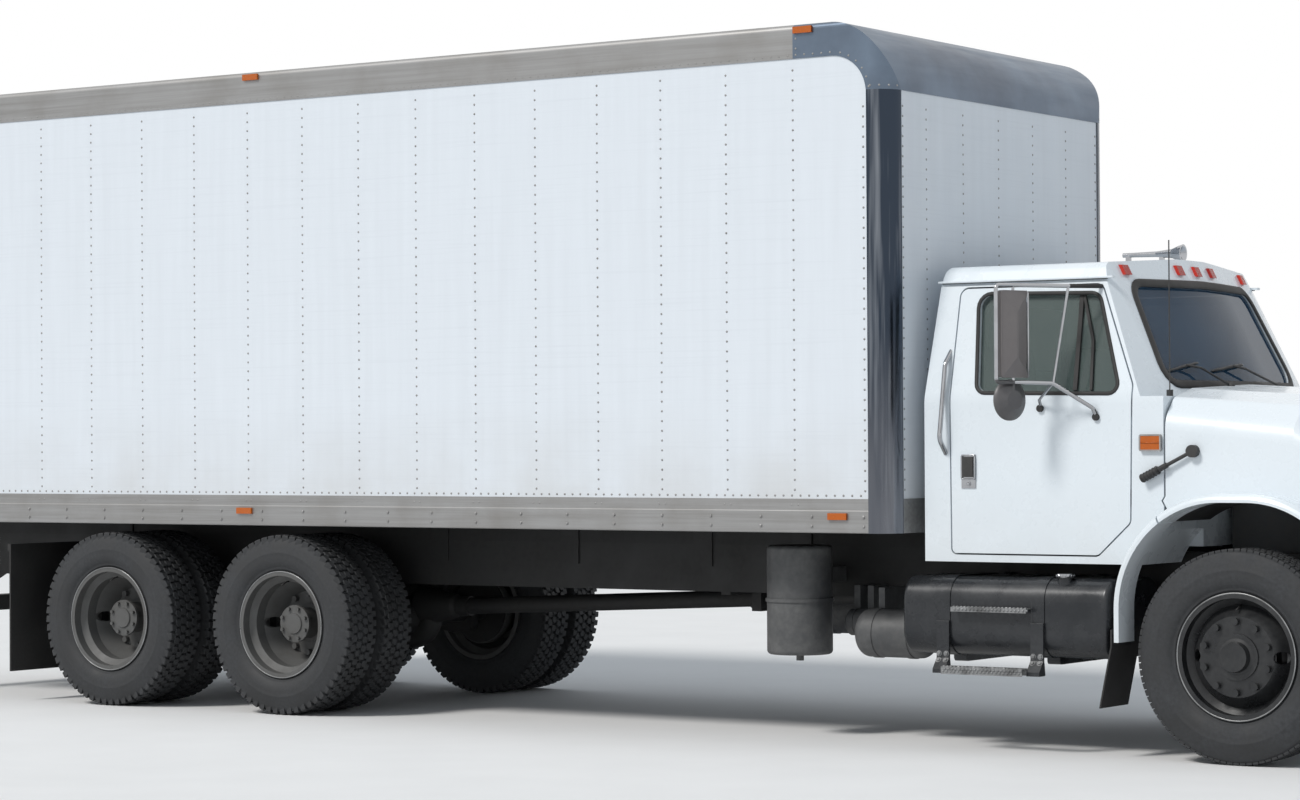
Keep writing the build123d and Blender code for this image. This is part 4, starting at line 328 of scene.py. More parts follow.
# slot, clean colour, dust colour, dust amount, roughness, noise scale, bump depth, metalness
DARK_FINISHES = (
    # dark steel, painted darker still as painted shade under the truck
    ("dark_steel", (0.009, 0.0095, 0.0105), (0.034, 0.033, 0.031), 0.6, 0.6, 34.0, 0.0006, 0.0),
    ("engine_paint", (0.07, 0.075, 0.08), (0.13, 0.12, 0.11), 0.6, 0.6, 22.0, 0.0012, 0.0),
    ("tank_metal", (0.012, 0.014, 0.017), (0.06, 0.062, 0.066), 0.5, 0.2, 60.0, 0.0003, 0.2),
    ("battery_box_metal", (0.03, 0.03, 0.032), (0.12, 0.115, 0.11), 0.6, 0.5, 50.0, 0.0004, 0.0),
    ("rubber", (0.010, 0.010, 0.011), (0.035, 0.034, 0.032), 0.6, 0.6, 70.0, 0.0006, 0.0),
    # floor steel, painted darker still as painted shade under the body
    ("floor_steel", (0.009, 0.0095, 0.0105), (0.034, 0.033, 0.031), 0.6, 0.65, 30.0, 0.0008, 0.0),
    ("frame_paint", (0.42, 0.44, 0.46), (0.30, 0.28, 0.26), 0.6, 0.4, 18.0, 0.0003, 0.0),
    ("black_plastic", (0.018, 0.018, 0.019), (0.07, 0.068, 0.065), 0.45, 0.5, 90.0, 0.0003, 0.0),
    ("dash_plastic", (0.05, 0.052, 0.056), (0.09, 0.088, 0.085), 0.4, 0.6, 260.0, 0.0005, 0.0),
    ("knuckle_iron", (0.03, 0.03, 0.03), (0.10, 0.095, 0.088), 0.7, 0.65, 45.0, 0.001, 0.0),
    ("tyre", (0.014, 0.0148, 0.016), (0.052, 0.055, 0.060), 0.75, 0.68, 55.0, 0.0004, 0.0),
    ("front_wheel_metal", (0.014, 0.015, 0.017), (0.065, 0.066, 0.066), 0.55, 0.26, 40.0, 0.0003, 0.3),
    ("rear_wheel_metal", (0.105, 0.106, 0.105), (0.065, 0.062, 0.058), 0.8, 0.55, 26.0, 0.0006, 0.1),
)
for slot, clean, dust, amount, rough, grain, depth, metal in DARK_FINISHES:
    finishes[slot] = dusty(slot + "_finish", clean, dust, amount, rough, grain, depth, Metallic=metal)
print("dark finishes", len(DARK_FINISHES))

# %% [markdown]
# ## Glass, lenses and cloth
# Window glass is tinted and thin. A full glass shader would bend light through both faces of the
# pane and darken the cab, so the pane is a glossy surface that lets most light straight through
# by its alpha. Lamp lenses are coloured plastic moulded with fine ribs, which a wave pattern makes
# as bump. The seats are woven cloth, where two crossed waves give the threads.

# %% Glass, lenses and cloth
def pane_glass(name, tint, film_tint, alpha, shine):
    film = (3.0, 4.0)
    f = two_tone(name, 0.03, tint, film_tint, (0.0, 1.0, *film), (0.02, 0.06, *film),
                 Alpha=alpha, Specular_IOR_Level=shine)
    f.material.blend_method = "BLEND"
    return f.material


def ribbed_lens(name, colour, deep, axis):
    f = Finish(name, colour, 0.2, Coat_Weight=0.1, Specular_IOR_Level=0.35)
    ribs = f.wave(55.0, axis)
    f.set_colour(f.mixed(ribs, colour, deep))
    f.set_roughness(f.cloud(0.14, 0.3, 60.0))
    f.set_bump(ribs, 0.0015, 0.6)
    return f.material


def lamp_glass():
    f = Finish("headlamp_glass", (0.62, 0.65, 0.67), 0.08,
               Metallic=0.35, Coat_Weight=1.0, Coat_Roughness=0.03)
    ribs = f.wave(38.0, "Y")
    f.set_colour(f.mixed(ribs, (0.70, 0.73, 0.75), (0.45, 0.48, 0.5)))
    f.set_bump(ribs, 0.003, 0.7)
    return f.material


def seat_cloth():
    f = Finish("seat_cloth", (0.075, 0.08, 0.09), 0.9, Sheen_Weight=0.3, Sheen_Roughness=0.5)
    weave = f.times(f.wave(160.0, "X", Distortion=0.6), f.wave(160.0, "Z", Distortion=0.6))
    fleck = f.mixed(f.cloud(0.0, 1.0, 90.0, 4.0), (0.06, 0.064, 0.072), (0.11, 0.115, 0.125))
    f.set_colour(f.mixed(weave, fleck, (0.15, 0.155, 0.165)))
    f.set_roughness(f.spread(weave, 0.82, 0.95, 0.0, 1.0))
    f.set_bump(weave, 0.0012, 0.8)
    return f.material


finishes["window_glass"] = pane_glass(
    "tinted_window_glass", (0.10, 0.135, 0.13), (0.13, 0.165, 0.155), 0.6, 0.5)
finishes["amber_lens"] = ribbed_lens("amber_lens", (0.62, 0.15, 0.008), (0.34, 0.058, 0.003), "X")
finishes["red_lens"] = ribbed_lens("red_lens", (0.55, 0.035, 0.02), (0.28, 0.012, 0.01), "Y")
finishes["headlamp_glass"] = lamp_glass()
finishes["seat_fabric"] = seat_cloth()
print("finishes in all", len(finishes))

# %% [markdown]
# ## Dressing the CAD nodes
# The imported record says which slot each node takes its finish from, so one loop dresses them all.
# A CAD mesh is never changed: only the material in its slots.

# %% Put the finishes on the CAD nodes
slot_of = {part["node"]: part["material_slot"] for part in frame["record"]["subparts"]}
for name, obj in nodes.items():
    obj.data.materials.clear()
    obj.data.materials.append(finishes[slot_of[name]])
# The windshield's nearly opaque dark blue is painted reflection, not the glass's own tint.
nodes["cab_glass"].data.materials[0] = pane_glass(
    "blue_windshield_glass", (0.016, 0.045, 0.085), (0.026, 0.065, 0.115), 0.86, 0.15)
nodes["air_tanks"].data.materials[0] = dusty(
    "dusty_can_finish", (0.045, 0.047, 0.05), (0.16, 0.16, 0.158), 0.75, 0.5, 30.0)
print("dressed", len(slot_of))

# %% [markdown]
# ## Light, floor and background
# Soft light shows form without hard patches. A sun lamp with a wide angle stands high on the
# camera's side and a little to the rear, so the side is bright and the front wall lies in shade,
# as in the picture. The sky gives the rest, at a level where a colour renders about as written.
# The white background comes from the rays the camera, mirrors and glass send, so no more light
# falls on the truck because of it.

# %% Light and floor
SUN_POWER, SUN_ANGLE, SUN_COLOUR = 2.25, math.radians(14.0), (1.0, 0.975, 0.94)
SKY_POWER, SKY_COLOUR = 0.5, (0.84, 0.92, 1.0, 1.0)
TOWARD_SUN = Vector((-0.26, -0.64, 0.72))
WHITE = (1.0, 1.0, 1.0, 1.0)
GROUND_REACH, GROUND_Z = 90.0, -0.001


def link_up(tree, *rows):
    """Links in a node tree, each given as (node, output, node, input)."""
    for source, output, target, entry in rows:
        tree.links.new(source.outputs[output], target.inputs[entry])


def floor_finish():
    f = Finish("pale_floor", (0.78, 0.78, 0.78), 0.9)
    f.set_colour(f.mixed(f.cloud(0.0, 1.0, 1.5, 4.0), (0.80, 0.80, 0.80), (0.77, 0.77, 0.77)))
    return f.material


world = bpy.data.worlds.new("studio_sky")
bpy.context.scene.world = world
world.use_nodes = True
sky = world.node_tree.nodes
sky.clear()
rays, out = sky.new("ShaderNodeLightPath"), sky.new("ShaderNodeOutputWorld")
lit, seen = sky.new("ShaderNodeBackground"), sky.new("ShaderNodeBackground")
for node, colour, power in ((lit, SKY_COLOUR, SKY_POWER), (seen, WHITE, 1.0)):
    node.inputs["Color"].default_value = colour
    node.inputs["Strength"].default_value = power
direct, any_view = sky.new("ShaderNodeMath"), sky.new("ShaderNodeMath")
direct.operation = any_view.operation = "MAXIMUM"
choose = sky.new("ShaderNodeMixShader")
link_up(
    world.node_tree,
    (rays, "Is Camera Ray", direct, 0), (rays, "Is Glossy Ray", direct, 1),
    (direct, 0, any_view, 0), (rays, "Is Transmission Ray", any_view, 1),
    (any_view, 0, choose, 0), (lit, 0, choose, 1), (seen, 0, choose, 2), (choose, 0, out, "Surface"),
)
sun_data = bpy.data.lights.new("sun", "SUN")
sun_data.energy, sun_data.angle, sun_data.color = SUN_POWER, SUN_ANGLE, SUN_COLOUR
sun = put_in_scene("sun", sun_data)
sun.rotation_euler = TOWARD_SUN.to_track_quat("Z", "Y").to_euler()

floor_mesh = bpy.data.meshes.new("floor")
corners = [(GROUND_REACH * x, GROUND_REACH * y, GROUND_Z) for x, y in ((-1, -1), (1, -1), (1, 1), (-1, 1))]
floor_mesh.from_pydata(corners, [], [(0, 1, 2, 3)])
floor_mesh.materials.append(floor_finish())
floor = put_in_scene("floor", floor_mesh)
print("sun", SUN_POWER, "sky", SKY_POWER)

# %% [markdown]
# ## Turning meshes into pieces
# A few helpers serve every piece below. One makes an object from points and faces, with its
# normals turned outwards, and one settles its modifiers. Others lay faces between rings of points
# and turn an outline about an axle. The most used says which body a piece rides on and which CAD
# node it stands for.

# %% Helpers for pieces
SIDES = (("right", -1), ("left", 1))
MERGE_DISTANCE = 0.00002


def from_shape(name, shape, slot):
    """An object with the shape as its mesh. The shape is freed."""
    mesh = bpy.data.meshes.new(name)
    shape.to_mesh(mesh)
    shape.free()
    mesh.materials.append(finishes[slot])
    return put_in_scene(name, mesh)


def new_piece(name, points, faces, slot, smooth=True):
    """An object made of points and faces, with its normals turned outwards."""
    raw = bpy.data.meshes.new("raw")
    raw.from_pydata(points, [], faces)
    shape = bmesh.new()
    shape.from_mesh(raw)
    bpy.data.meshes.remove(raw)
    bmesh.ops.remove_doubles(shape, verts=shape.verts, dist=MERGE_DISTANCE)
    bmesh.ops.recalc_face_normals(shape, faces=shape.faces)
    for face in shape.faces:
        face.smooth = smooth
    return from_shape(name, shape, slot)


def settle(obj):
    """Applies the object's modifiers, leaving one plain mesh."""
    bpy.context.view_layer.update()
    ready = obj.evaluated_get(bpy.context.evaluated_depsgraph_get())
    mesh = bpy.data.meshes.new_from_object(ready)
    obj.modifiers.clear()
    obj.data = mesh
    return obj


def hand_over(obj, body, slot, *stands_for):
    """The piece rides on a body and may stand for CAD nodes. The slot is not used."""
    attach(obj, body)
    if stands_for:
        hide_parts(*stands_for)
    faces = sum(len(p.vertices) - 2 for p in obj.data.polygons)
    print(obj.name, "rides on", body, "triangles", faces)
    return obj


def circle(radius, count):
    """The points of a flat circle."""
    angles = [2 * math.pi * i / count for i in range(count)]
    return [(radius * math.cos(angle), radius * math.sin(angle)) for angle in angles]


def ring_faces(rings, sides, start=0, closed=False):
    """Faces between rings of points that follow each other. Closed joins the last to the first."""
    faces = []
    for ring in range(rings if closed else rings - 1):
        a, b = start + ring * sides, start + (ring + 1) % rings * sides
        faces += [(a + i, a + (i + 1) % sides, b + (i + 1) % sides, b + i) for i in range(sides)]
    return faces


def spun(section, count):
    """Points and faces of a section of (radius, y) corners turned about the Y axis."""
    points = []
    for x, z in circle(1.0, count):
        points += [(radius * z, y, radius * x) for radius, y in section]
    return points, ring_faces(count, len(section), closed=True)


def turned(name, section, count, place, slot, body, sign=1):
    """A turned section as a piece, moved by a matrix. A sign of -1 makes it face the right."""
    points, faces = spun([(radius, y * sign) for radius, y in section], count)
    return hand_over(new_piece(name, [place @ Vector(p) for p in points], faces, slot), body, slot)


def softened(corners):
    """The closed outline with each corner cut off at a quarter of its sides."""
    found = []
    for i, here in enumerate(corners):
        after = corners[(i + 1) % len(corners)]
        found += [tuple(a * (1 - k) + b * k for a, b in zip(here, after)) for k in (0.25, 0.75)]
    return found


print("piece helpers ready")

# %% [markdown]
# ## The tyres
# A tyre is a ring with one section all the way round, so its carcass is an outline of radius and
# width turned about the axle. The outline follows the real casing: bead at the rim, a bulging
# sidewall with a fine ridge near the rim and a raised band at the shoulder, then the tread base.
# The tread is rows of rubber blocks. Modelling each of them would be slow, so one block is made
# and Geometry Nodes repeats it round the wheel. The front tyres carry long ribs, and the driven
# tyres carry angled blocks.

# %% Tyre carcass
TREAD_HALF = 0.113
BEAD_RADIUS = 0.286
BEAD_HALF = 0.1017
AXLE_Z = 0.510
FRONT_TYRE_Y = 1.016
OUTER_TYRE_Y, INNER_TYRE_Y = 1.088, 0.770
FRONT_AXLE_X = 4.0955
FORWARD_AXLE_X, REAR_AXLE_X = -1.7145, -3.0345

# half outline from the bead to the tread's base, as (radius, y)
CASING = (
    (BEAD_RADIUS, BEAD_HALF), (0.300, BEAD_HALF), (0.309, 0.1045), (0.313, 0.1105), (0.317, 0.1125),
    (0.321, 0.1115), (0.330, 0.1195), (0.345, 0.1275), (0.365, 0.1330), (0.385, 0.1345), (0.400, 0.1342),
    (0.404, 0.1352), (0.410, 0.1352), (0.414, 0.1338), (0.430, 0.1315), (0.447, 0.1275), (0.462, 0.1235),
    (0.476, 0.1190), (0.486, 0.1150), (0.492, 0.1120),
)
FRONT_BASE, DRIVE_BASE = 0.4965, 0.4935
TYRE_STEPS, LIP_STEPS = 120, 96


def casing_section(base):
    """The whole section, with the tread's base lowered to leave room for the blocks."""
    side = [*CASING, (base - 0.001, TREAD_HALF - 0.006), (base, TREAD_HALF - 0.02), (base, 0.03)]
    return side + [(radius, -y) for radius, y in reversed(side)]


print("casing corners", len(casing_section(FRONT_BASE)))

# %% [markdown]
# The node group below takes one block, puts it on the points of a circle and turns each copy so
# that its foot points at the axle. Count, radius, sideways place, turn and start angle are named
# inputs, so all rows of blocks use one group. Realize Instances makes real faces of the copies.

# %% Node group that repeats a block round a wheel
def start_tree(name, inputs):
    """A node group that takes and gives geometry, with more inputs as (name, kind, value)."""
    tree = bpy.data.node_groups.new(name, "GeometryNodeTree")
    for way in ("INPUT", "OUTPUT"):
        tree.interface.new_socket("Geometry", in_out=way, socket_type="NodeSocketGeometry")
    for label, kind, value in inputs:
        socket = tree.interface.new_socket(label, in_out="INPUT", socket_type="NodeSocket" + kind)
        if value is not None:
            socket.default_value = value
    return tree


def wheel_row_tree():
    tree = start_tree("row_round_a_wheel", (
        ("Block", "Object", None), ("Count", "Int", 48), ("Radius", "Float", 0.5),
        ("Sideways", "Float", 0.0), ("Start Angle", "Float", 0.0), ("Rubber", "Material", None),
    ))
    add = tree.nodes.new
    given, result = add("NodeGroupInput"), add("NodeGroupOutput")
    block, ring = add("GeometryNodeObjectInfo"), add("GeometryNodeMeshCircle")
    index, spin = add("GeometryNodeInputIndex"), add("ShaderNodeVectorRotate")
    spin.rotation_type = "Y_AXIS"
    put, spot = add("GeometryNodeSetPosition"), add("GeometryNodeInstanceOnPoints")
    per_step, angle, from_start = add("ShaderNodeMath"), add("ShaderNodeMath"), add("ShaderNodeMath")
    per_step.operation, angle.operation = "DIVIDE", "MULTIPLY"
    per_step.inputs[0].default_value = 2 * math.pi
    turn, raised = add("ShaderNodeCombineXYZ"), add("ShaderNodeCombineXYZ")
    join, real = add("GeometryNodeJoinGeometry"), add("GeometryNodeRealizeInstances")
    paint = add("GeometryNodeSetMaterial")
    link_up(
        tree,
        (given, "Count", ring, "Vertices"), (given, "Count", per_step, 1), (per_step, 0, angle, 0),
        (index, 0, angle, 1), (angle, 0, from_start, 0), (given, "Start Angle", from_start, 1),
        (given, "Sideways", raised, "Y"), (given, "Radius", raised, "Z"), (raised, 0, spin, "Vector"),
        (from_start, 0, spin, "Angle"), (ring, "Mesh", put, "Geometry"), (spin, 0, put, "Position"),
        (put, 0, spot, "Points"), (given, "Block", block, "Object"), (block, "Geometry", spot, "Instance"),
        (from_start, 0, turn, "Y"), (turn, 0, spot, "Rotation"), (spot, 0, join, 0),
        (given, "Geometry", join, 0), (join, 0, real, 0), (real, 0, paint, "Geometry"),
        (given, "Rubber", paint, "Material"), (paint, 0, result, 0),
    )
    return tree


def with_nodes(obj, tree, **values):
    """Adds the node group to the object and sets its inputs by their identifiers."""
    modifier = obj.modifiers.new(tree.name, "NODES")
    modifier.node_group = tree
    for item in tree.interface.items_tree:
        key = item.name.replace(" ", "_")
        if item.item_type == "SOCKET" and item.in_out == "INPUT" and key in values:
            modifier[item.identifier] = values[key]


wheel_row = wheel_row_tree()
print("inputs", [item.name for item in wheel_row.interface.items_tree])

# %% [markdown]
# A tread block is a small prism: its outline lies flat, its top is a little smaller than its foot,
# and its foot sinks into the casing so that no gap shows. The outlines below are in millimetres,
# along the way the tyre rolls and across it.

# %% Tread blocks
def block_shape(name, outline_mm, height, taper):
    """A block standing on the origin, with its top at z = 0 and its foot below."""
    points, count = [], len(outline_mm)
    for scale, z in ((1.0, -height), (1.0, -0.004), (taper, 0.0)):
        points += [(x * scale / 1000, y * scale / 1000, z) for x, y in outline_mm]
    top = tuple(range(2 * count, 3 * count))
    return new_piece(name, points, ring_faces(3, count) + [top], "tyre", smooth=False)


RIB = block_shape("rib_block", (
    (-13.5, -13), (-9.5, -16), (10, -16), (14, -13), (14, 13), (10, 16), (-9.5, 16), (-13.5, 13),
), 0.02, 0.94)
SHOULDER_RIB = block_shape("shoulder_block", (
    (-14.5, -19), (14, -19), (14.5, 14), (11, 19), (-11, 19), (-14.5, 14),
), 0.026, 0.93)
LUG = block_shape("drive_block", (
    (-21, -19), (2, -23), (21, -10), (21, 19), (-2, 23), (-21, 10),
), 0.022, 0.88)
MIDDLE_LUG = block_shape("middle_block", (
    (-19, -20), (8, -21), (19, -6), (19, 20), (-8, 21), (-19, 6),
), 0.022, 0.88)
EDGE_LUG = block_shape("edge_block", ((-19, -22), (19, -16), (17, 24), (-15, 24)), 0.036, 0.86)

# block, count round the wheel, top radius, sideways place, start angle in steps
FRONT_ROWS = (
    (RIB, 100, 0.5097, 0.0, 0.0), (RIB, 100, 0.5097, 0.042, 0.5), (RIB, 100, 0.5097, -0.042, 0.5),
    (SHOULDER_RIB, 96, 0.5085, 0.088, 0.2), (SHOULDER_RIB, 96, 0.5085, -0.088, 0.2),
)
DRIVE_ROWS = (
    (MIDDLE_LUG, 62, 0.5096, 0.024, 0.0), (MIDDLE_LUG, 62, 0.5096, -0.024, 0.5),
    (LUG, 60, 0.5095, 0.068, 0.25), (LUG, 60, 0.5095, -0.068, 0.25),
    (EDGE_LUG, 60, 0.506, 0.100, 0.75), (EDGE_LUG, 60, 0.506, -0.100, 0.75),
)
print("rows", len(FRONT_ROWS), len(DRIVE_ROWS))

# %% [markdown]
# Each wheel body gets one mesh. A casing is turned at the origin with its rows of blocks, settled
# into a plain mesh, and then moved to its place in its own vertices, so the object itself stays
# at the origin. A twin wheel is two of them joined. The new tyres stand for the CAD tyres, which
# stay in the model for its collisions.

# %% Make the tyres
def build_tyre(name, rows, base):
    tyre = new_piece(name, *spun(casing_section(base), TYRE_STEPS), "tyre")
    for block, count, radius, sideways, start in rows:
        with_nodes(tyre, wheel_row, Block=block, Count=count, Radius=radius, Sideways=sideways,
                   Start_Angle=2 * math.pi / count * start, Rubber=finishes["tyre"])
    return settle(tyre)


def placed_tyre(name, pattern, places):
    """Copies of a settled tyre at wheel centres, joined into one mesh."""
    shape = bmesh.new()
    for centre in places:
        copy = pattern.data.copy()
        copy.transform(Matrix.Translation(centre))
        shape.from_mesh(copy)
        bpy.data.meshes.remove(copy)
    for face in shape.faces:
        face.material_index = 0
    return from_shape(name, shape, "tyre")


front_pattern = build_tyre("front_pattern", FRONT_ROWS, FRONT_BASE)
drive_pattern = build_tyre("drive_pattern", DRIVE_ROWS, DRIVE_BASE)
for side, sign in SIDES:
    tyre = placed_tyre(f"ribbed_tyre_{side}", front_pattern, [(FRONT_AXLE_X, sign * FRONT_TYRE_Y, AXLE_Z)])
    hand_over(tyre, f"front_wheel_{side}", "tyre", f"front_tyre_{side}")
    for place, axle_x in (("forward", FORWARD_AXLE_X), ("rear", REAR_AXLE_X)):
        pair = [(axle_x, sign * y, AXLE_Z) for y in (OUTER_TYRE_Y, INNER_TYRE_Y)]
        tyre = placed_tyre(f"{place}_drive_tyres_{side}", drive_pattern, pair)
        hand_over(tyre, f"{place}_wheel_{side}", "tyre", f"{place}_tyres_{side}")
for used in (front_pattern, drive_pattern, RIB, SHOULDER_RIB, LUG, MIDDLE_LUG, EDGE_LUG):
    bpy.data.objects.remove(used)
print("tyres done")

# %% [markdown]
# ## Finding a CAD surface
# Rivets, seals and trim sit on the CAD faces, and many of those are curved. Instead of working
# out each place by hand, a straight line is shot at the node and the piece goes where it lands,
# turned to the face it meets. The nodes' own meshes are only read.

# %% Where a line meets a node
BODY_FRONT, BODY_REAR = 2.2835, -5.0315
# where lines start that are shot at the truck's side, windshield, nose and rear end
BESIDE, AHEAD, FAR_AHEAD, BEHIND = 1.5, 5.0, 6.0, -6.0
skins = {}


def landing(node, start, direction):
    """Where a line from start meets the node: the place and the outward normal, or None."""
    if node not in skins:
        mesh = nodes[node].data
        points, faces = [v.co for v in mesh.vertices], [tuple(p.vertices) for p in mesh.polygons]
        skins[node] = BVHTree.FromPolygons(points, faces)
    direction = Vector(direction)
    place, normal, _, _ = skins[node].ray_cast(Vector(start), direction)
    if place is None:
        return None
    return place, (-normal if normal.dot(direction) > 0 else normal)


def landings(node, starts, direction):
    """Where lines in one direction meet the node. Lines that miss it are left out."""
    return [found for found in (landing(node, start, direction) for start in starts) if found]


def side_landings(node, sign, spots):
    """Where level lines from beside the truck meet the node, at (x, z) spots."""
    return landings(node, [(x, sign * BESIDE, z) for x, z in spots], (0, -sign, 0))


print("side skin at", side_landings("body_walls", -1, [(0.0, 2.0)])[0][0])

# %% [markdown]
# ## Rivets and bolts
# The van body is held by some two thousand rivets: a row up each post, closer rows along the
# panels' edges, and bolts along the rails. Each head could be placed by hand or by an array, but
# rows that turn a corner need more freedom. Here a list of points carries an arrow that says
# which way is out, and Geometry Nodes puts one small head on each point, turned to its arrow.
# A head needs few faces, because it covers two pixels in the picture.

# %% Node group that puts heads on points
HEAD_SEED = 7


def heads_tree():
    tree = start_tree("heads_on_points", (
        ("Head", "Object", None), ("Size", "Float", 1.0), ("Spin Seed", "Int", HEAD_SEED),
        ("Metal", "Material", None),
    ))
    add = tree.nodes.new
    given, result = add("NodeGroupInput"), add("NodeGroupOutput")
    arrow, aim = add("GeometryNodeInputNamedAttribute"), add("FunctionNodeAlignRotationToVector")
    arrow.data_type = "FLOAT_VECTOR"
    arrow.inputs["Name"].default_value = "outward"
    aim.axis = "Z"
    spin, about = add("FunctionNodeRandomValue"), add("FunctionNodeAxisAngleToRotation")
    spin.data_type = "FLOAT"
    spin.inputs[3].default_value = 2 * math.pi
    about.inputs["Axis"].default_value = (0.0, 0.0, 1.0)
    both = add("FunctionNodeRotateRotation")
    both.rotation_space = "LOCAL"
    head, spot = add("GeometryNodeObjectInfo"), add("GeometryNodeInstanceOnPoints")
    real, paint = add("GeometryNodeRealizeInstances"), add("GeometryNodeSetMaterial")
    link_up(
        tree,
        (arrow, "Attribute", aim, "Vector"), (given, "Spin Seed", spin, "Seed"), (spin, 1, about, "Angle"),
        (aim, "Rotation", both, "Rotation"), (about, "Rotation", both, "Rotate By"),
        (given, "Head", head, "Object"), (given, "Geometry", spot, "Points"),
        (head, "Geometry", spot, "Instance"), (both, "Rotation", spot, "Rotation"),
        (given, "Size", spot, "Scale"), (spot, 0, real, 0), (real, 0, paint, "Geometry"),
        (given, "Metal", paint, "Material"), (paint, 0, result, 0),
    )
    return tree


def head_rings(radius, sides, rings):
    """Points of level circles, each given as (share of the radius, height)."""
    return [(x, y, z) for share, z in rings for x, y in circle(radius * share, sides)]


def dome_head(name, radius, height, sides=6):
    """A low dome that stands on z = 0, with its foot sunk a little."""
    points = head_rings(radius, sides, ((1.0, -0.001), (1.0, height * 0.25), (0.62, height * 0.82)))
    points.append((0.0, 0.0, height))
    faces = ring_faces(3, sides)
    faces += [(2 * sides + i, 2 * sides + (i + 1) % sides, 3 * sides) for i in range(sides)]
    faces.append(tuple(reversed(range(sides))))
    return new_piece(name, points, faces, "rail_aluminium", smooth=False)


def bolt_head(name, radius, height):
    """A six-sided head on a round washer."""
    washer = ((1.45, -0.001), (1.45, height * 0.22))
    hexagon = ((1.0, height * 0.2), (1.0, height * 0.9), (0.82, height))
    points, faces = [], []
    for sides, rings in ((12, washer), (6, hexagon)):
        start = len(points)
        points += head_rings(radius, sides, rings)
        faces += ring_faces(len(rings), sides, start)
        faces.append(tuple(range(len(points) - sides, len(points))))
        faces.append(tuple(reversed(range(start, start + sides))))
    return new_piece(name, points, faces, "fitting_steel", smooth=False)


def put_heads(name, spots, head, slot, body="truck", size=1.0):
    """One mesh of heads on (place, outward) spots, which rides on a body."""
    mesh = bpy.data.meshes.new(name)
    mesh.from_pydata([tuple(place) for place, _ in spots], [], [])
    arrow = mesh.attributes.new("outward", "FLOAT_VECTOR", "POINT")
    for i, (_, outward) in enumerate(spots):
        arrow.data[i].vector = outward
    obj = put_in_scene(name, mesh)
    with_nodes(obj, on_points, Head=head, Size=size, Spin_Seed=HEAD_SEED, Metal=finishes[slot])
    print(name, len(spots), "heads")
    return hand_over(settle(obj), body, slot)


on_points = heads_tree()
RIVET = dome_head("rivet_head", 0.0065, 0.0030)
SMALL_BOLT = bolt_head("small_bolt_head", 0.0065, 0.005)
BOLT = bolt_head("bolt_head", 0.0105, 0.009)

# %% [markdown]
# The rows below are worked out from the body's own spacing: posts 406 mm apart with rivets 51 mm
# apart up each of them. The cap's rivets follow its foot, round the inner corner by an arc.

# %% Rivet rows
POST_PITCH, POST_COUNT = 0.4064, 18
RIVET_PITCH, RAIL_BOLT_PITCH = 0.0508, 0.3048
PANEL_LOW, PANEL_HIGH = 1.243, 3.480
PANEL_FRONT, PANEL_REAR = BODY_FRONT - 0.130, BODY_REAR + 0.060
FIRST_POST, CAP_REAR = BODY_FRONT - 0.564, BODY_FRONT - 0.560
CAP_FOOT, CAP_TOP = 3.297, 3.63
CAP_BEND, CAP_ROW = 0.200, 0.018
FOOT_ROW_Z, RAIL_BOLT_Z = 1.212, (1.104, 1.152)


def steps(start, end, pitch):
    """Places from start toward end, a pitch apart."""
    count = int(abs(end - start) / pitch + 0.001)
    sign = 1 if end > start else -1
    return [start + sign * pitch * i for i in range(count + 1)]


posts = [FIRST_POST - POST_PITCH * i for i in range(POST_COUNT)]
bend_x, bend_z = PANEL_FRONT - CAP_BEND, PANEL_HIGH - CAP_BEND
panel_spots, cap_spots, lip_spots, rail_spots = [], [], [], []
for side, sign in SIDES:
    spots = [(x, z) for x in posts for z in steps(PANEL_LOW + 0.045, PANEL_HIGH - 0.03, RIVET_PITCH)]
    spots += [(PANEL_FRONT - 0.020, z) for z in steps(PANEL_LOW + 0.04, 3.25, RIVET_PITCH)]
    spots += [(x, PANEL_LOW + 0.016) for x in steps(PANEL_FRONT - 0.045, PANEL_REAR + 0.03, RIVET_PITCH)]
    panel_spots += side_landings("body_walls", sign, spots)
    spots = [(x, PANEL_HIGH + CAP_ROW) for x in steps(CAP_REAR + CAP_ROW, bend_x, RIVET_PITCH)]
    for i in range(1, 7):
        angle = math.pi / 2 * (1 - i / 6.6)
        reach = CAP_BEND + CAP_ROW
        spots.append((bend_x + reach * math.cos(angle), bend_z + reach * math.sin(angle)))
    spots += [(CAP_REAR + CAP_ROW, z) for z in steps(PANEL_HIGH + 0.05, CAP_TOP, RIVET_PITCH)]
    cap_spots += side_landings("body_front_cap", sign, spots)
    spots = [(x, PANEL_HIGH + 0.016) for x in steps(CAP_REAR - 0.03, PANEL_REAR + 0.03, RIVET_PITCH)]
    spots += [(x + dx, FOOT_ROW_Z) for x in posts for dx in (-0.02, 0.02)]
    lip_spots += side_landings("body_rails", sign, spots)
    bolt_xs = steps(BODY_FRONT - 0.158, PANEL_REAR + 0.05, RAIL_BOLT_PITCH)
    rail_spots += side_landings("body_rails", sign, [(x, z) for x in bolt_xs for z in RAIL_BOLT_Z])
print("side spots", len(panel_spots), len(cap_spots), len(lip_spots), len(rail_spots))

# %% [markdown]
# The front wall's posts are 386 mm apart and not centred, because one panel is narrower. Round
# the corner, the cap's rivets are shot at from outside the curve, each toward the bend's centre.

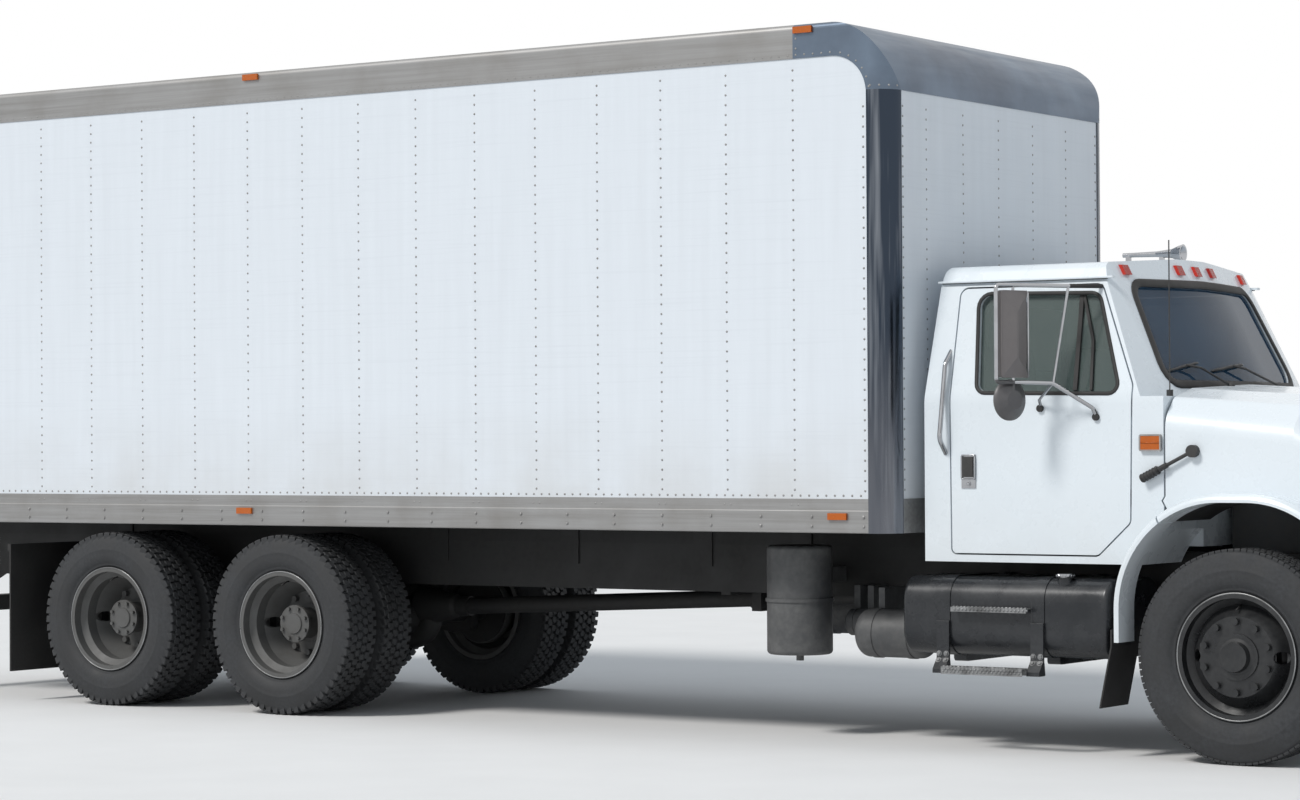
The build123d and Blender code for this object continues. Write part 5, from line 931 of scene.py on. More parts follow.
# %% Front rows
FRONT_POST_Y = (-1.070, -0.830, -0.444, -0.058, 0.328, 0.714, 1.070)
BEND_X, BEND_Y, BEND_REACH = BODY_FRONT - 0.13, 1.089, 0.4
BEND_ANGLES = [math.radians(degrees) for degrees in (15, 37, 59, 80)]
front_z = steps(PANEL_LOW + 0.045, CAP_FOOT - 0.03, RIVET_PITCH)
for y in FRONT_POST_Y:
    panel_spots += landings("body_walls", [(BODY_FRONT + 0.3, y, z) for z in front_z], (-1, 0, 0))
for side, sign in SIDES:
    for angle in BEND_ANGLES:
        out = Vector((math.cos(angle), sign * math.sin(angle), 0.0))
        start = Vector((BEND_X, sign * BEND_Y, CAP_FOOT + 0.02)) + out * BEND_REACH
        cap_spots += landings("body_front_cap", [start], -out)
for name, spots, head, size in (
    ("panel_rivets", panel_spots, RIVET, 1.0), ("cap_rivets", cap_spots, RIVET, 0.9),
    ("rail_rivets", lip_spots, RIVET, 0.8), ("rail_bolts", rail_spots, SMALL_BOLT, 1.1),
):
    put_heads(name, spots, head, "rail_aluminium", size=size)

# %% [markdown]
# ## Window seals
# Each window of the cab sits in a black rubber seal that overlaps the paint all round. A seal is
# one section carried along a closed path, so it is made as a sweep: the path is the window's
# outline grown by half the seal's width, each point is dropped on the CAD skin, and the section
# is set up there from the skin's normal and the path's own direction. A curve with a bevel would
# do it too, but its section would not stay flat on a skin that leans.

# %% Sweeping a section along a path
LONGEST_STRAIGHT = 0.08


def round_corners(corners, cuts=5):
    """A closed outline whose (a, b, radius) corners are arcs."""
    found = []
    for i, (a, b, radius) in enumerate(corners):
        here = Vector((a, b))
        to_last = (Vector(corners[i - 1][:2]) - here).normalized()
        to_next = (Vector(corners[(i + 1) % len(corners)][:2]) - here).normalized()
        if not radius:
            found.append(here)
            continue
        half = to_last.angle(to_next) / 2
        run = radius / math.tan(half)
        centre = here + (to_last + to_next).normalized() * (radius / math.sin(half))
        first, last = here + to_last * run - centre, here + to_next * run - centre
        sweep = first.angle_signed(last)
        for k in range(cuts + 1):
            found.append(centre + Matrix.Rotation(-sweep * k / cuts, 2) @ first)
    return found


def grown(outline, reach):
    """The outline moved outwards, point by point."""
    area = sum(a.x * b.y - b.x * a.y for a, b in zip(outline, outline[1:] + outline[:1]))
    sign = 1 if area > 0 else -1
    found = []
    for i, here in enumerate(outline):
        along = (outline[(i + 1) % len(outline)] - outline[i - 1]).normalized()
        found.append(here + Vector((along.y, -along.x)) * reach * sign)
    return found


def split_long(outline):
    """Extra points on the long straight sides, so that a sweep follows a curved skin."""
    found = []
    for a, b in zip(outline, outline[1:] + outline[:1]):
        count = max(1, round((b - a).length / LONGEST_STRAIGHT))
        found += [a.lerp(b, k / count) for k in range(count)]
    return found


def rectangle(a0, a1, b0, b1, radius, cuts=5):
    """The outline of a rectangle with rounded corners."""
    return round_corners([(a0, b0, radius), (a1, b0, radius), (a1, b1, radius), (a0, b1, radius)], cuts)


def evenly(first, last, count):
    """The ends of count equal steps on a straight line, with the first point."""
    return [Vector(first).lerp(Vector(last), k / count) for k in range(count + 1)]


def swept(name, path, section, slot, body="truck", closed=True, smooth=True):
    """A piece of a section, as (sideways, outward) corners, carried along (place, outward) stations."""
    points = []
    count, sides = len(path), len(section)
    for i, (place, outward) in enumerate(path):
        before = path[i - 1][0] if closed or i else path[0][0]
        after = path[(i + 1) % count][0] if closed or i < count - 1 else path[-1][0]
        along = (after - before).normalized()
        sideways = outward.cross(along).normalized()
        points += [place + sideways * a + outward * b for a, b in section]
    faces = ring_faces(count, sides, closed=closed)
    if not closed:
        faces += [tuple(range(sides)), tuple(reversed(range((count - 1) * sides, count * sides)))]
    return hand_over(new_piece(name, points, faces, slot, smooth), body, slot)


def side_path(spots, y):
    """Stations at (x, z) spots in an upright plane beside the truck, facing outwards."""
    return [(Vector((x, y, z)), Vector((0, math.copysign(1, y), 0))) for x, z in spots]


def end_path(spots, x):
    """Stations at (y, z) spots in an upright plane across the truck's front or rear end."""
    return [(Vector((x, y, z)), Vector((math.copysign(1, x), 0, 0))) for y, z in spots]


def seal_section(half, proud):
    side = [(half * 0.45, proud), (half, proud * 0.55), (half, -0.002)]
    return [(-a, b) for a, b in reversed(side)] + side


def bar_section(half, top_half, low, high):
    return [(-half, low), (-top_half, high), (top_half, high), (half, low)]


print("sweep helpers ready")

# %% [markdown]
# The outlines below are the CAD windows in metres, with the radius of each corner.

# %% Seals of the doors, windshield and back window
DOOR_WINDOW = [
    (BODY_FRONT + 0.372, 1.776, 0.046), (BODY_FRONT + 1.150, 1.764, 0.040),
    (BODY_FRONT + 0.990, 2.250, 0.060), (BODY_FRONT + 0.326, 2.264, 0.060),
]
SHIELD_WINDOW = [
    (-0.752, 1.822, 0.07), (0.752, 1.822, 0.07), (0.672, 2.292, 0.08), (0.0, 2.300, 0), (-0.672, 2.292, 0.08),
]
BACK_WINDOW = [(-0.44, 1.90, 0.06), (0.44, 1.90, 0.06), (0.44, 2.23, 0.06), (-0.44, 2.23, 0.06)]

for side, sign in SIDES:
    line = split_long(grown(round_corners(DOOR_WINDOW), 0.006))
    path = side_landings(f"cab_door_{side}", sign, line)
    swept(f"door_window_seal_{side}", path, seal_section(0.0095, 0.005), "rubber", f"cab_door_{side}")
# name, outline, growth, half width, height, and the lines' start and direction along X
for name, window, growth, half, proud, start_x, way in (
    ("windshield_seal", SHIELD_WINDOW, 0.018, 0.022, 0.008, AHEAD, -1),
    ("back_window_seal", BACK_WINDOW, 0.012, 0.015, 0.006, BODY_FRONT + 0.02, 1),
):
    line = split_long(grown(round_corners(window), growth))
    path = landings("cab_shell", [(start_x, y, z) for y, z in line], (way, 0, 0))
    swept(name, path, seal_section(half, proud), "rubber")

# %% [markdown]
# The door glass is parted by two dark bars: an upright one and the slanting edge of the quarter
# window that swings open. Both stand on the glass, from the sill to the top of the window.

# %% Quarter window bars
SILL, HINGE = (BODY_FRONT + 0.905, 1.775), (BODY_FRONT + 0.975, 2.020)
BARS = (
    (SILL, (BODY_FRONT + 0.890, 2.252), 0.011), (HINGE, (BODY_FRONT + 0.902, 2.245), 0.007),
    (HINGE, (BODY_FRONT + 0.992, 1.775), 0.007),
)
for side, sign in SIDES:
    for i, (low, high, half) in enumerate(BARS):
        path = side_landings(f"door_glass_{side}", sign, evenly(low, high, 4))
        swept(f"quarter_window_bar_{side}_{i + 1}", path, bar_section(half, half, -0.001, 0.014), "rubber",
              f"cab_door_{side}", closed=False, smooth=False)

# %% [markdown]
# ## Seats
# A truck seat is foam in a sewn cover: the faces are crowned, the sides pull in between the
# corners, and two sewn channels run over the middle. It could be carved by hand, but a cloth
# simulation gives the right swelling by itself. A rounded block a little smaller than the CAD
# seat is covered with even faces, blown up for twenty frames, and each point may move only so far.
# The two seats are alike, so one cushion and one back are blown up and used on both sides.

# %% Helper for padded pieces
SEAT_VOXEL = 0.010
SEAT_SHRINK, SEAT_SWELL = 0.012, 0.022
SEAT_PRESSURE, SEAT_FRAMES = 4.0, 20
CHANNEL_Y, CHANNEL_HALF_WIDTH, CHANNEL_DEPTH = 0.085, 0.009, 0.009


def soft_block(size, corner):
    """An even-faced rounded block about the origin."""
    shape = bmesh.new()
    bmesh.ops.create_cube(shape, size=1.0)
    bmesh.ops.scale(shape, vec=size, verts=shape.verts)
    bmesh.ops.bevel(shape, geom=shape.edges[:], offset=corner, segments=4, profile=0.5, affect="EDGES")
    obj = from_shape("soft_block", shape, "seat_fabric")
    even = obj.modifiers.new("even_faces", "REMESH")
    even.mode, even.voxel_size = "VOXEL", SEAT_VOXEL
    return settle(obj)


def blown_up(obj):
    """The block's points after the cloth has swelled, none moved further than the limit."""
    before = [v.co.copy() for v in obj.data.vertices]
    cloth = obj.modifiers.new("swell", "CLOTH")
    cloth.settings.use_pressure = True
    cloth.settings.uniform_pressure_force = SEAT_PRESSURE
    cloth.settings.effector_weights.gravity = 0.0
    for frame_number in range(1, SEAT_FRAMES + 1):
        bpy.context.scene.frame_set(frame_number)
    ready = obj.evaluated_get(bpy.context.evaluated_depsgraph_get())
    moves = [new.co - old for old, new in zip(before, ready.data.vertices)]
    obj.modifiers.clear()
    bpy.context.scene.frame_set(1)
    return [old + move * min(1.0, SEAT_SWELL / max(move.length, 1e-6)) for old, move in zip(before, moves)]


def pad_form(size, corner, face_axis):
    """Points and faces of a pad about the origin, with channels over its seat face."""
    obj = soft_block([s - 2 * SEAT_SHRINK for s in size], corner)
    points = blown_up(obj)
    for point in points:
        if point[face_axis] >= 0:
            for y in (-CHANNEL_Y, CHANNEL_Y):
                pull = math.exp(-(((point.y - y) / CHANNEL_HALF_WIDTH) ** 2))
                point[face_axis] -= CHANNEL_DEPTH * pull
    faces = [tuple(p.vertices) for p in obj.data.polygons]
    bpy.data.objects.remove(obj)
    return points, faces


cushion_form = pad_form((0.48, 0.50, 0.13), 0.036, 2)
back_form = pad_form((0.13, 0.48, 0.64), 0.040, 0)
print("pad points", len(cushion_form[0]), len(back_form[0]))

# %% [markdown]
# Each seat stands on a pressed steel base, which has a flange on the floor and a slide rail on
# each side. The pads and bases together stand for the plain CAD seats.

# %% Seats
SEAT_Y = 0.480
CUSHION_X, CUSHION_Z = BODY_FRONT + 0.520, 1.376
BACK_X, BACK_Z, BACK_LEAN = BODY_FRONT + 0.290, 1.736, math.radians(-8.0)
CAB_FLOOR_Z = 1.046
SEAT_BASE_X = (BODY_FRONT + 0.335, BODY_FRONT + 0.695)
# each block's reach from the seat's middle to the right and left, and its two heights
SEAT_BASE = (
    (-0.155, 0.155, 0.002, 0.235), (-0.188, 0.188, 0.0, 0.012),
    (-0.186, -0.150, 0.225, 0.262), (0.150, 0.186, 0.225, 0.262),
)


def blocks(name, boxes, slot, body, bevel=0.004):
    """Several (x0, x1, y0, y1, z0, z1) blocks with rounded edges, as one piece."""
    points, faces = [], []
    for x0, x1, y0, y1, z0, z1 in boxes:
        start = len(points)
        points += [(x, y, z) for x in (x0, x1) for y in (y0, y1) for z in (z0, z1)]
        for face in ((0, 1, 3, 2), (4, 6, 7, 5), (0, 4, 5, 1), (2, 3, 7, 6), (0, 2, 6, 4), (1, 5, 7, 3)):
            faces.append(tuple(start + k for k in face))
    obj = new_piece(name, points, faces, slot, smooth=False)
    edge = obj.modifiers.new("round_edges", "BEVEL")
    edge.width, edge.segments, edge.limit_method = bevel, 2, "NONE"
    return hand_over(settle(obj), body, slot)


def padded_piece(name, form, place, lean=0.0):
    turn = Matrix.Translation(place) @ Matrix.Rotation(lean, 4, "Y")
    points, faces = form
    obj = new_piece(name, [turn @ p for p in points], faces, "seat_fabric")
    smoother = obj.modifiers.new("finer", "SUBSURF")
    smoother.levels = smoother.render_levels = 1
    obj = hand_over(settle(obj), "truck", "seat_fabric")


for side, sign in SIDES:
    middle = sign * SEAT_Y
    padded_piece(f"seat_cushion_{side}", cushion_form, (CUSHION_X, middle, CUSHION_Z))
    padded_piece(f"seat_back_{side}", back_form, (BACK_X, middle, BACK_Z), BACK_LEAN)
    boxes = []
    for y0, y1, z0, z1 in SEAT_BASE:
        boxes.append((*SEAT_BASE_X, middle + y0, middle + y1, CAB_FLOOR_Z + z0, CAB_FLOOR_Z + z1))
    base = blocks(f"seat_base_{side}", boxes, "black_plastic", "truck")
    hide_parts("seats")

# %% [markdown]
# ## Taking part of a CAD shape
# Several CAD solids join what is made of different stuff: a mirror's chrome tube and its painted
# back, or a tank strap and its rubber pad. The faces of one part are copied from the node's mesh,
# lifted by less than a millimetre and given the other finish. Modelling the part again would take
# longer and could miss the CAD shape. The node's own mesh stays as it is.

# %% Helper for a part of a node
LIFT = 0.0007


def peeled(name, node, keep, slot, body, lift=LIFT):
    """The node's faces whose centre and normal pass keep, lifted and closed as a thin shell."""
    shape = bmesh.new()
    shape.from_mesh(nodes[node].data)
    bmesh.ops.remove_doubles(shape, verts=shape.verts, dist=MERGE_DISTANCE)
    away = [f for f in shape.faces if not keep(f.calc_center_median(), f.normal)]
    bmesh.ops.delete(shape, geom=away, context="FACES")
    obj = from_shape(name, shape, slot)
    wall = obj.modifiers.new("wall", "SOLIDIFY")
    wall.thickness, wall.offset, wall.use_even_offset = lift, 1.0, False
    return hand_over(settle(obj), body, slot)


def between(value, low, high):
    return low <= value <= high


print("peeling ready")

# %% [markdown]
# ## Mirrors
# The west coast mirror has a chrome tube, a painted back with four hips, a round mirror under it
# and rubber feet where the tube meets the door. The tube and stay keep the node's own mesh, with
# chrome on it. The photograph shows the painted back a dull brown grey and the round one darker.

# %% Mirror finishes and parts
extra_finish("mirror_back", dusty(
    "mirror_back_paint", (0.165, 0.15, 0.15), (0.24, 0.225, 0.215), 0.5, 0.42, 30.0, 0.0003, Metallic=0.15))
extra_finish("round_mirror_back", dusty(
    "round_mirror_paint", (0.085, 0.083, 0.088), (0.17, 0.165, 0.16), 0.5, 0.36, 30.0, 0.0003, Metallic=0.2))


# the painted back's reach in Y and Z, and the plane of its front rim
HEAD_Y, HEAD_Z, HEAD_RIM_X = (1.155, 1.350), (1.836, 2.265), 3.036
ROUND_Y, ROUND_TOP_Z, ROUND_RIM_X = 1.150, 1.828, 3.05
FEET_Y, FEET_LOW_Z = 1.022, 1.60
LEVEL = 0.999


def on_head(place, normal):
    inside = between(abs(place.y), *HEAD_Y) and between(place.z, *HEAD_Z)
    return inside and place.x < HEAD_RIM_X and abs(normal.z) < LEVEL


def on_round(place, normal):
    return abs(place.y) > ROUND_Y and place.x < ROUND_RIM_X and place.z < ROUND_TOP_Z


def on_feet(place, normal):
    return abs(place.y) < FEET_Y and place.z > FEET_LOW_Z


for side, sign in SIDES:
    node, body = f"door_fittings_{side}", f"cab_door_{side}"
    nodes[node].data.materials[0] = finishes["chrome"]
    peeled(f"mirror_back_{side}", node, on_head, "mirror_back", body)
    peeled(f"round_mirror_{side}", node, on_round, "round_mirror_back", body)
    peeled(f"mirror_feet_{side}", node, on_feet, "rubber", body)

# %% [markdown]
# ## Door handle and lock
# A paddle handle: a chromed surround, a dark lever you pull out, and a plate with the lock below.

# %% Door handle
HANDLE_REAR, HANDLE_FRONT = BODY_FRONT + 0.286, BODY_FRONT + 0.366
HANDLE_LOW, HANDLE_HIGH = 1.296, 1.464
HANDLE_EDGE = rectangle(
    HANDLE_REAR + 0.004, HANDLE_FRONT - 0.004, HANDLE_LOW + 0.046, HANDLE_HIGH - 0.004, 0.008, 3)
SURROUND_Y, LOCK_Y = 1.0145, 1.0165
SURROUND = [(-0.004, -0.006), (-0.004, 0.003), (0.0, 0.005), (0.004, 0.003), (0.004, -0.006)]
LOCK = softened([(0.0, -0.004), (0.0085, -0.004), (0.0085, 0.003), (0.0, 0.004)])


def on_lever(place, normal):
    inside = between(place.x, HANDLE_REAR + 0.010, HANDLE_FRONT - 0.010)
    return inside and between(place.z, HANDLE_LOW + 0.050, HANDLE_HIGH - 0.010) and abs(place.y) > 1.008


for side, sign in SIDES:
    body = f"cab_door_{side}"
    peeled(f"handle_lever_{side}", f"door_fittings_{side}", on_lever, "black_plastic", body)
    swept(f"handle_surround_{side}", side_path(HANDLE_EDGE, sign * SURROUND_Y), SURROUND, "chrome", body)
    place = Matrix.Translation((HANDLE_REAR + 0.040, sign * LOCK_Y, HANDLE_LOW + 0.022))
    turned(f"door_lock_{side}", LOCK, 16, place, "chrome", body, sign)

# %% [markdown]
# ## Fuel tank fittings
# The two treads on the tank are bright ribbed aluminium, so a boot doesn't slip. Their plates are
# peeled from the CAD steps, and rows of teeth stand along them. The straps are drawn tight by
# bolts at their lower ends, and the filler has a plated cap.

# %% Treads, strap bolts and filler cap
def tread_metal():
    amount, shine = (0.0, 0.85, 14.0, 6.0), (0.38, 0.62, 60.0, 4.0)
    light, grime = (0.30, 0.305, 0.31), (0.075, 0.075, 0.075)
    f = two_tone("tread_aluminium", 0.5, light, grime, amount, shine, Metallic=0.4)
    f.set_bump(f.noise(120.0, 3.0), 0.0005, 0.5)
    return f.material


extra_finish("tread_aluminium", tread_metal())
TREAD_X = (BODY_FRONT + 0.277, BODY_FRONT + 0.726)
TREADS = (((TREAD_X[0] + 0.029, TREAD_X[1]), -1.164, 0.712), (TREAD_X, -1.216, 0.420))
TOOTH_PITCH = 0.021
STRAP_X = (BODY_FRONT + 0.240, BODY_FRONT + 0.763)
FILLER, LID_RADIUS = Vector((BODY_FRONT + 0.880, -1.046, 0.873)), 0.0455


# the two tread plates' reach in Z, and the plane that they stand outside of
UPPER_PLATE, LOWER_PLATE = ((0.688, 0.7125), -1.113), ((0.383, 0.4205), -1.124)
LOW_ROW_Y, LOW_ROW_Z = -1.216, 0.398
STRAP_BOLT_DX, STRAP_BOLT_Z = (-0.020, 0.020), (0.446, 0.478)
LID_FOOT_Z, LID_REACH = 0.8625, 0.048


def on_treads(place, normal):
    upper = between(place.z, *UPPER_PLATE[0]) and place.y < UPPER_PLATE[1]
    lower = between(place.z, *LOWER_PLATE[0]) and place.y < LOWER_PLATE[1]
    return between(place.x, TREAD_X[0] - 0.001, TREAD_X[1] + 0.003) and (upper or lower)


def on_lid(place, normal):
    return place.z > LID_FOOT_Z and (place.xy - FILLER.xy).length < LID_REACH


peeled("tank_tread_plates", "tank_straps_and_steps", on_treads, "tread_aluminium", "truck")
TOOTH = dome_head("tread_tooth", 0.0085, 0.006, 4)
tooth_spots = []
for (x0, x1), y, z in TREADS:
    for x in steps(x0 + 0.012, x1 - 0.008, TOOTH_PITCH):
        tooth_spots.append((Vector((x, y + 0.008, z)), Vector((0, 0, 1))))
        tooth_spots.append((Vector((x + 0.010, y, z - 0.010)), Vector((0, -1, 0))))
low_row = [(x, LOW_ROW_Z) for x in steps(TREAD_X[0] + 0.012, TREAD_X[1] - 0.008, TOOTH_PITCH)]
put_heads("tread_teeth", tooth_spots + side_path(low_row, LOW_ROW_Y), TOOTH, "tread_aluminium")

nodes["tank_straps_and_steps"].data.materials[0] = finishes["tank_metal"]
bolt_spots = [(x + dx, z) for x in STRAP_X for dx in STRAP_BOLT_DX for z in STRAP_BOLT_Z]
put_heads("strap_bolts", side_landings("tank_straps_and_steps", -1, bolt_spots), BOLT, "tread_aluminium")
peeled("filler_lid", "fuel_tank", on_lid, "chrome", "truck")
outs = [Vector((x, y, 0.0)) for x, y in circle(1.0, 16)]
put_heads("filler_grip", [(FILLER + out * LID_RADIUS, out) for out in outs], RIVET, "chrome")

# %% [markdown]
# ## Wheel trim
# Each outer wheel gets a thin bright ring on its lip and a valve stem that reaches out through the dish.

# %% Rim lips and valve stems
LIP_SHINE = two_tone("rubbed_rim_lip", 0.34, (0.34, 0.345, 0.35), (0.09, 0.09, 0.09),
                     (0.0, 0.8, 7.0, 5.0), (0.25, 0.5, 30.0, 4.0), Metallic=0.75)
extra_finish("rim_lip", LIP_SHINE.material)
LIP = [
    (0.2970, 0.1150), (0.3032, 0.1150), (0.3038, 0.1168), (0.3028, 0.1182), (0.2980, 0.1182),
    (0.2970, 0.1172),
]
OUTER_WHEELS = (
    ("front", FRONT_AXLE_X, FRONT_TYRE_Y), ("forward", FORWARD_AXLE_X, OUTER_TYRE_Y),
    ("rear", REAR_AXLE_X, OUTER_TYRE_Y),
)
# the stem's foot, knee and tip, as (outwards, upwards) from the wheel's centre
VALVE = ((0.030, 0.244), (0.060, 0.240), (0.104, 0.222))
VALVE_RADIUS = 0.0042

for side, sign in SIDES:
    for name, axle_x, wheel_y in OUTER_WHEELS:
        body, centre = f"{name}_wheel_{side}", Vector((axle_x, sign * wheel_y, AXLE_Z))
        turned(f"{body}_lip", LIP, LIP_STEPS, Matrix.Translation(centre), "rim_lip", body, sign)
        foot, knee, tip = (centre + Vector((0.0, sign * y, z)) for y, z in VALVE)
        stem = (foot, knee, knee.lerp(tip, 0.6), knee.lerp(tip, 0.61), tip)
        path = [(p, Vector((1, 0, 0))) for p in stem]
        swept(f"{body}_valve", path, circle(VALVE_RADIUS, 8), "rubber", body, closed=False)

# %% [markdown]
# ## Wipers and aerial
# Each wiper is a bent arm, a sprung frame with claws and a rubber blade on the glass. The blade
# has to lie on the raked, curved windshield, so its points are found by shooting level lines back
# at the glass, and the frame's points stand off from there. The photograph shows them parked low
# and nearly level. The aerial keeps its CAD shape.

# %% Wipers
# side, the pivot's y, and the blade's outer and inner end as (y, z)
WIPERS = (
    ("right", -0.300, (-0.722, 1.862), (-0.415, 1.908)), ("left", 0.320, (-0.310, 1.870), (0.040, 1.905)),
)
BLADE_GAP, BLADE_RADIUS, ARM_RADIUS = 0.0065, 0.0055, 0.0065
KNUCKLE_GAP, ARM_END_GAP = 0.040, 0.030
PIVOT_X, PIVOT_Z, COWL_RAKE = BODY_FRONT + 1.452, 1.800, 0.10
BOW_GAPS = (0.010, 0.020, 0.016, 0.022, 0.026, 0.022, 0.016, 0.020, 0.010)
PIVOT_CAP = softened([(0.0, -0.016), (0.017, -0.016), (0.017, 0.010), (0.009, 0.018), (0.0, 0.018)])
CAP_TURN = Matrix.Rotation(math.radians(-60), 4, "Y") @ Matrix.Rotation(math.radians(90), 4, "X")
# this way never lies along a rod
ROD_FACE = Vector((0.35, 0.05, 0.93))


def off_glass(y, z, gap):
    """A point that stands gap in front of the windshield."""
    place, outward = landing("cab_glass", (AHEAD, y, z), (-1, 0, 0))
    return place + outward * gap


def rod(name, points, radius, slot="black_plastic"):
    return swept(name, [(p, ROD_FACE) for p in points], circle(radius, 6), slot, closed=False)


def on_aerial(place, normal):
    return place.y < -0.85


for side, pivot_y, outer, inner in WIPERS:
    line = evenly(outer, inner, 8)
    rod(f"wiper_blade_{side}", [off_glass(*p, BLADE_GAP) for p in line], BLADE_RADIUS, "rubber")
    rod(f"wiper_bow_{side}", [off_glass(*p, gap) for p, gap in zip(line, BOW_GAPS)], ARM_RADIUS)
    middle = Vector(outer).lerp(Vector(inner), 0.55)
    knuckle = off_glass(middle.x + 0.10, middle.y - 0.018, KNUCKLE_GAP)
    pivot = Vector((PIVOT_X - abs(pivot_y) * COWL_RAKE, pivot_y, PIVOT_Z))
    bend = [pivot.lerp(knuckle, 0.25), pivot.lerp(knuckle, 0.3)]
    rod(f"wiper_arm_{side}", [pivot, *bend, knuckle, off_glass(*middle, ARM_END_GAP)], ARM_RADIUS)
    place = Matrix.Translation(pivot) @ CAP_TURN
    turned(f"wiper_pivot_{side}", PIVOT_CAP, 20, place, "black_plastic", "truck")
aerial = peeled("aerial", "wipers_and_antenna", on_aerial, "black_plastic", "truck", 0.0002)
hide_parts("wipers_and_antenna")

# %% [markdown]
# ## Lamp frames, drip rail and latch
# A marker's lens sits in a grey moulded frame. The roof's edge ends in a drip rail with a dark
# line of painted shadow under it. Each is a small section carried along a path, as the seals were.

# %% Frames round the cowl markers
MARKER_REAR, MARKER_FRONT = BODY_FRONT + 1.270, BODY_FRONT + 1.378
MARKER_LOW, MARKER_HIGH = 1.482, 1.556
MARKER_FRAME = [(-0.004, -0.002), (-0.004, 0.0195), (0.004, 0.0195), (0.006, 0.002), (0.006, -0.002)]
MARKER_RIB_X = [MARKER_REAR + (MARKER_FRONT - MARKER_REAR) * k for k in (0.06, 0.94)]
FRAME_Y, RIB_Y = 1.005, 1.0245

for side, sign in SIDES:
    path = side_path(rectangle(MARKER_REAR, MARKER_FRONT, MARKER_LOW, MARKER_HIGH, 0.006, 3), sign * FRAME_Y)
    swept(f"marker_frame_{side}", path, MARKER_FRAME, "fitting_steel", smooth=False)
    path = side_path([(x, (MARKER_LOW + MARKER_HIGH) / 2) for x in MARKER_RIB_X], sign * RIB_Y)
    rib = bar_section(0.003, 0.002, -0.003, 0.0015)
    swept(f"marker_rib_{side}", path, rib, "amber_lens", closed=False)

# %% [markdown]
# The drip rail's lower edge is found by shooting lines up at the roof along its side. The thin
# dark strip laid along it is a painted shadow.

# %% Painted shadow line under the drip rail
ROOF_EDGE_X, ROOF_EDGE_Y = (BODY_FRONT + 0.110, BODY_FRONT + 1.080), 0.876
UNDER_ROOF_Z, SHADOW_LINE_STEPS, SHADOW_LINE_INSET = 2.0, 20, 0.002
for side, sign in SIDES:
    starts = evenly(*[(x, sign * ROOF_EDGE_Y, UNDER_ROOF_Z) for x in ROOF_EDGE_X], SHADOW_LINE_STEPS)
    outward = Vector((0, sign, 0))
    path = [(place - outward * SHADOW_LINE_INSET, outward) for place, _ in landings("cab_roof", starts, (0, 0, 1))]
    # a thin dark strip under the drip rail, a painted shadow
    swept(f"drip_sealer_{side}", path, bar_section(0.0035, 0.0035, -0.004, 0.003), "rubber", closed=False)
print("drip stations", len(path))

# %% [markdown]
# ## Hood latch rubbers
# The latch is a stretchy rubber pull. Ribs round the grip and the knob stop a glove from slipping.

# %% Ribs on the hood latches
KNOB, GRIP = Vector((BODY_FRONT + 1.552, 0, 1.478)), Vector((BODY_FRONT + 1.284, 0, 1.345))
LATCH_Y, RIB_COUNT, FIRST_RIB, RIB_PITCH = 1.033, 6, 0.008, 0.017
# each ring of a rib as (radius, place along the latch)
RIB_RINGS = ((0.019, -0.004), (0.0228, -0.0018), (0.0228, 0.0018), (0.019, 0.004))
RING_SIDES = 16
pull = (KNOB - GRIP).normalized()

for side, sign in SIDES:
    across = Vector((0, sign, 0))
    upward = pull.cross(across)
    points, faces = [], []
    for k in range(RIB_COUNT):
        faces += ring_faces(len(RIB_RINGS), RING_SIDES, len(points))
        centre = GRIP + pull * (FIRST_RIB + RIB_PITCH * k) + across * LATCH_Y
        for radius, along in RIB_RINGS:
            points += [centre + pull * along + across * a + upward * b for a, b in circle(radius, RING_SIDES)]
    hand_over(new_piece(f"latch_ribs_{side}", points, faces, "rubber"), "hood", "rubber")

# %% [markdown]
# ## Nose trim
# The photograph ends before the nose, so its trim is what such a truck has: a bright moulding
# round the grille opening, and a plated bezel round each pair of square sealed beams with an
# upright between them. The bumper is bolted through its face with round-headed plated bolts.

# %% Grille moulding, lamp bezels and bumper bolts
NOSE_X = 4.984
GRILLE_EDGE = [(-0.455, 1.010, 0.040), (0.455, 1.010, 0.040), (0.455, 1.560, 0.060), (-0.455, 1.560, 0.060)]
LAMP_EDGE = rectangle(0.590, 0.905, 0.985, 1.150, 0.024)
LAMP_MIDDLE_Y, UPRIGHT_Z = 0.7475, (0.990, 1.145)
BUMPER_BOLT_Y, BUMPER_BOLT_Z = (0.340, 0.470, 0.980), (0.500, 0.625)
MOULDING = [
    (-0.010, -0.002), (-0.010, 0.005), (-0.005, 0.009), (0.005, 0.009), (0.010, 0.005), (0.010, -0.002),
]

path = end_path(round_corners(GRILLE_EDGE), NOSE_X + 0.008)
swept("grille_moulding", path, MOULDING, "chrome", "hood")
for side, sign in SIDES:
    path = end_path([(sign * y, z) for y, z in LAMP_EDGE], NOSE_X + 0.004)
    swept(f"lamp_bezel_{side}", path, MOULDING, "chrome", "hood")
    path = end_path([(sign * LAMP_MIDDLE_Y, z) for z in UPRIGHT_Z], NOSE_X + 0.013)
    upright = bar_section(0.009, 0.007, -0.004, 0.006)
    swept(f"lamp_upright_{side}", path, upright, "chrome", "hood", closed=False)
starts = [(FAR_AHEAD, sign * y, z) for side, sign in SIDES for y in BUMPER_BOLT_Y for z in BUMPER_BOLT_Z]
put_heads("bumper_bolts", landings("front_bumper", starts, (-1, 0, 0)), BOLT, "chrome", size=1.5)

# %% [markdown]
# ## Rear doors and lamps
# The back of the truck isn't in the photograph either. Swing doors of this age have a rubber seal
# round each leaf, hinges bolted on with two bolts a side, and round tail lamps in dark rubber rings.

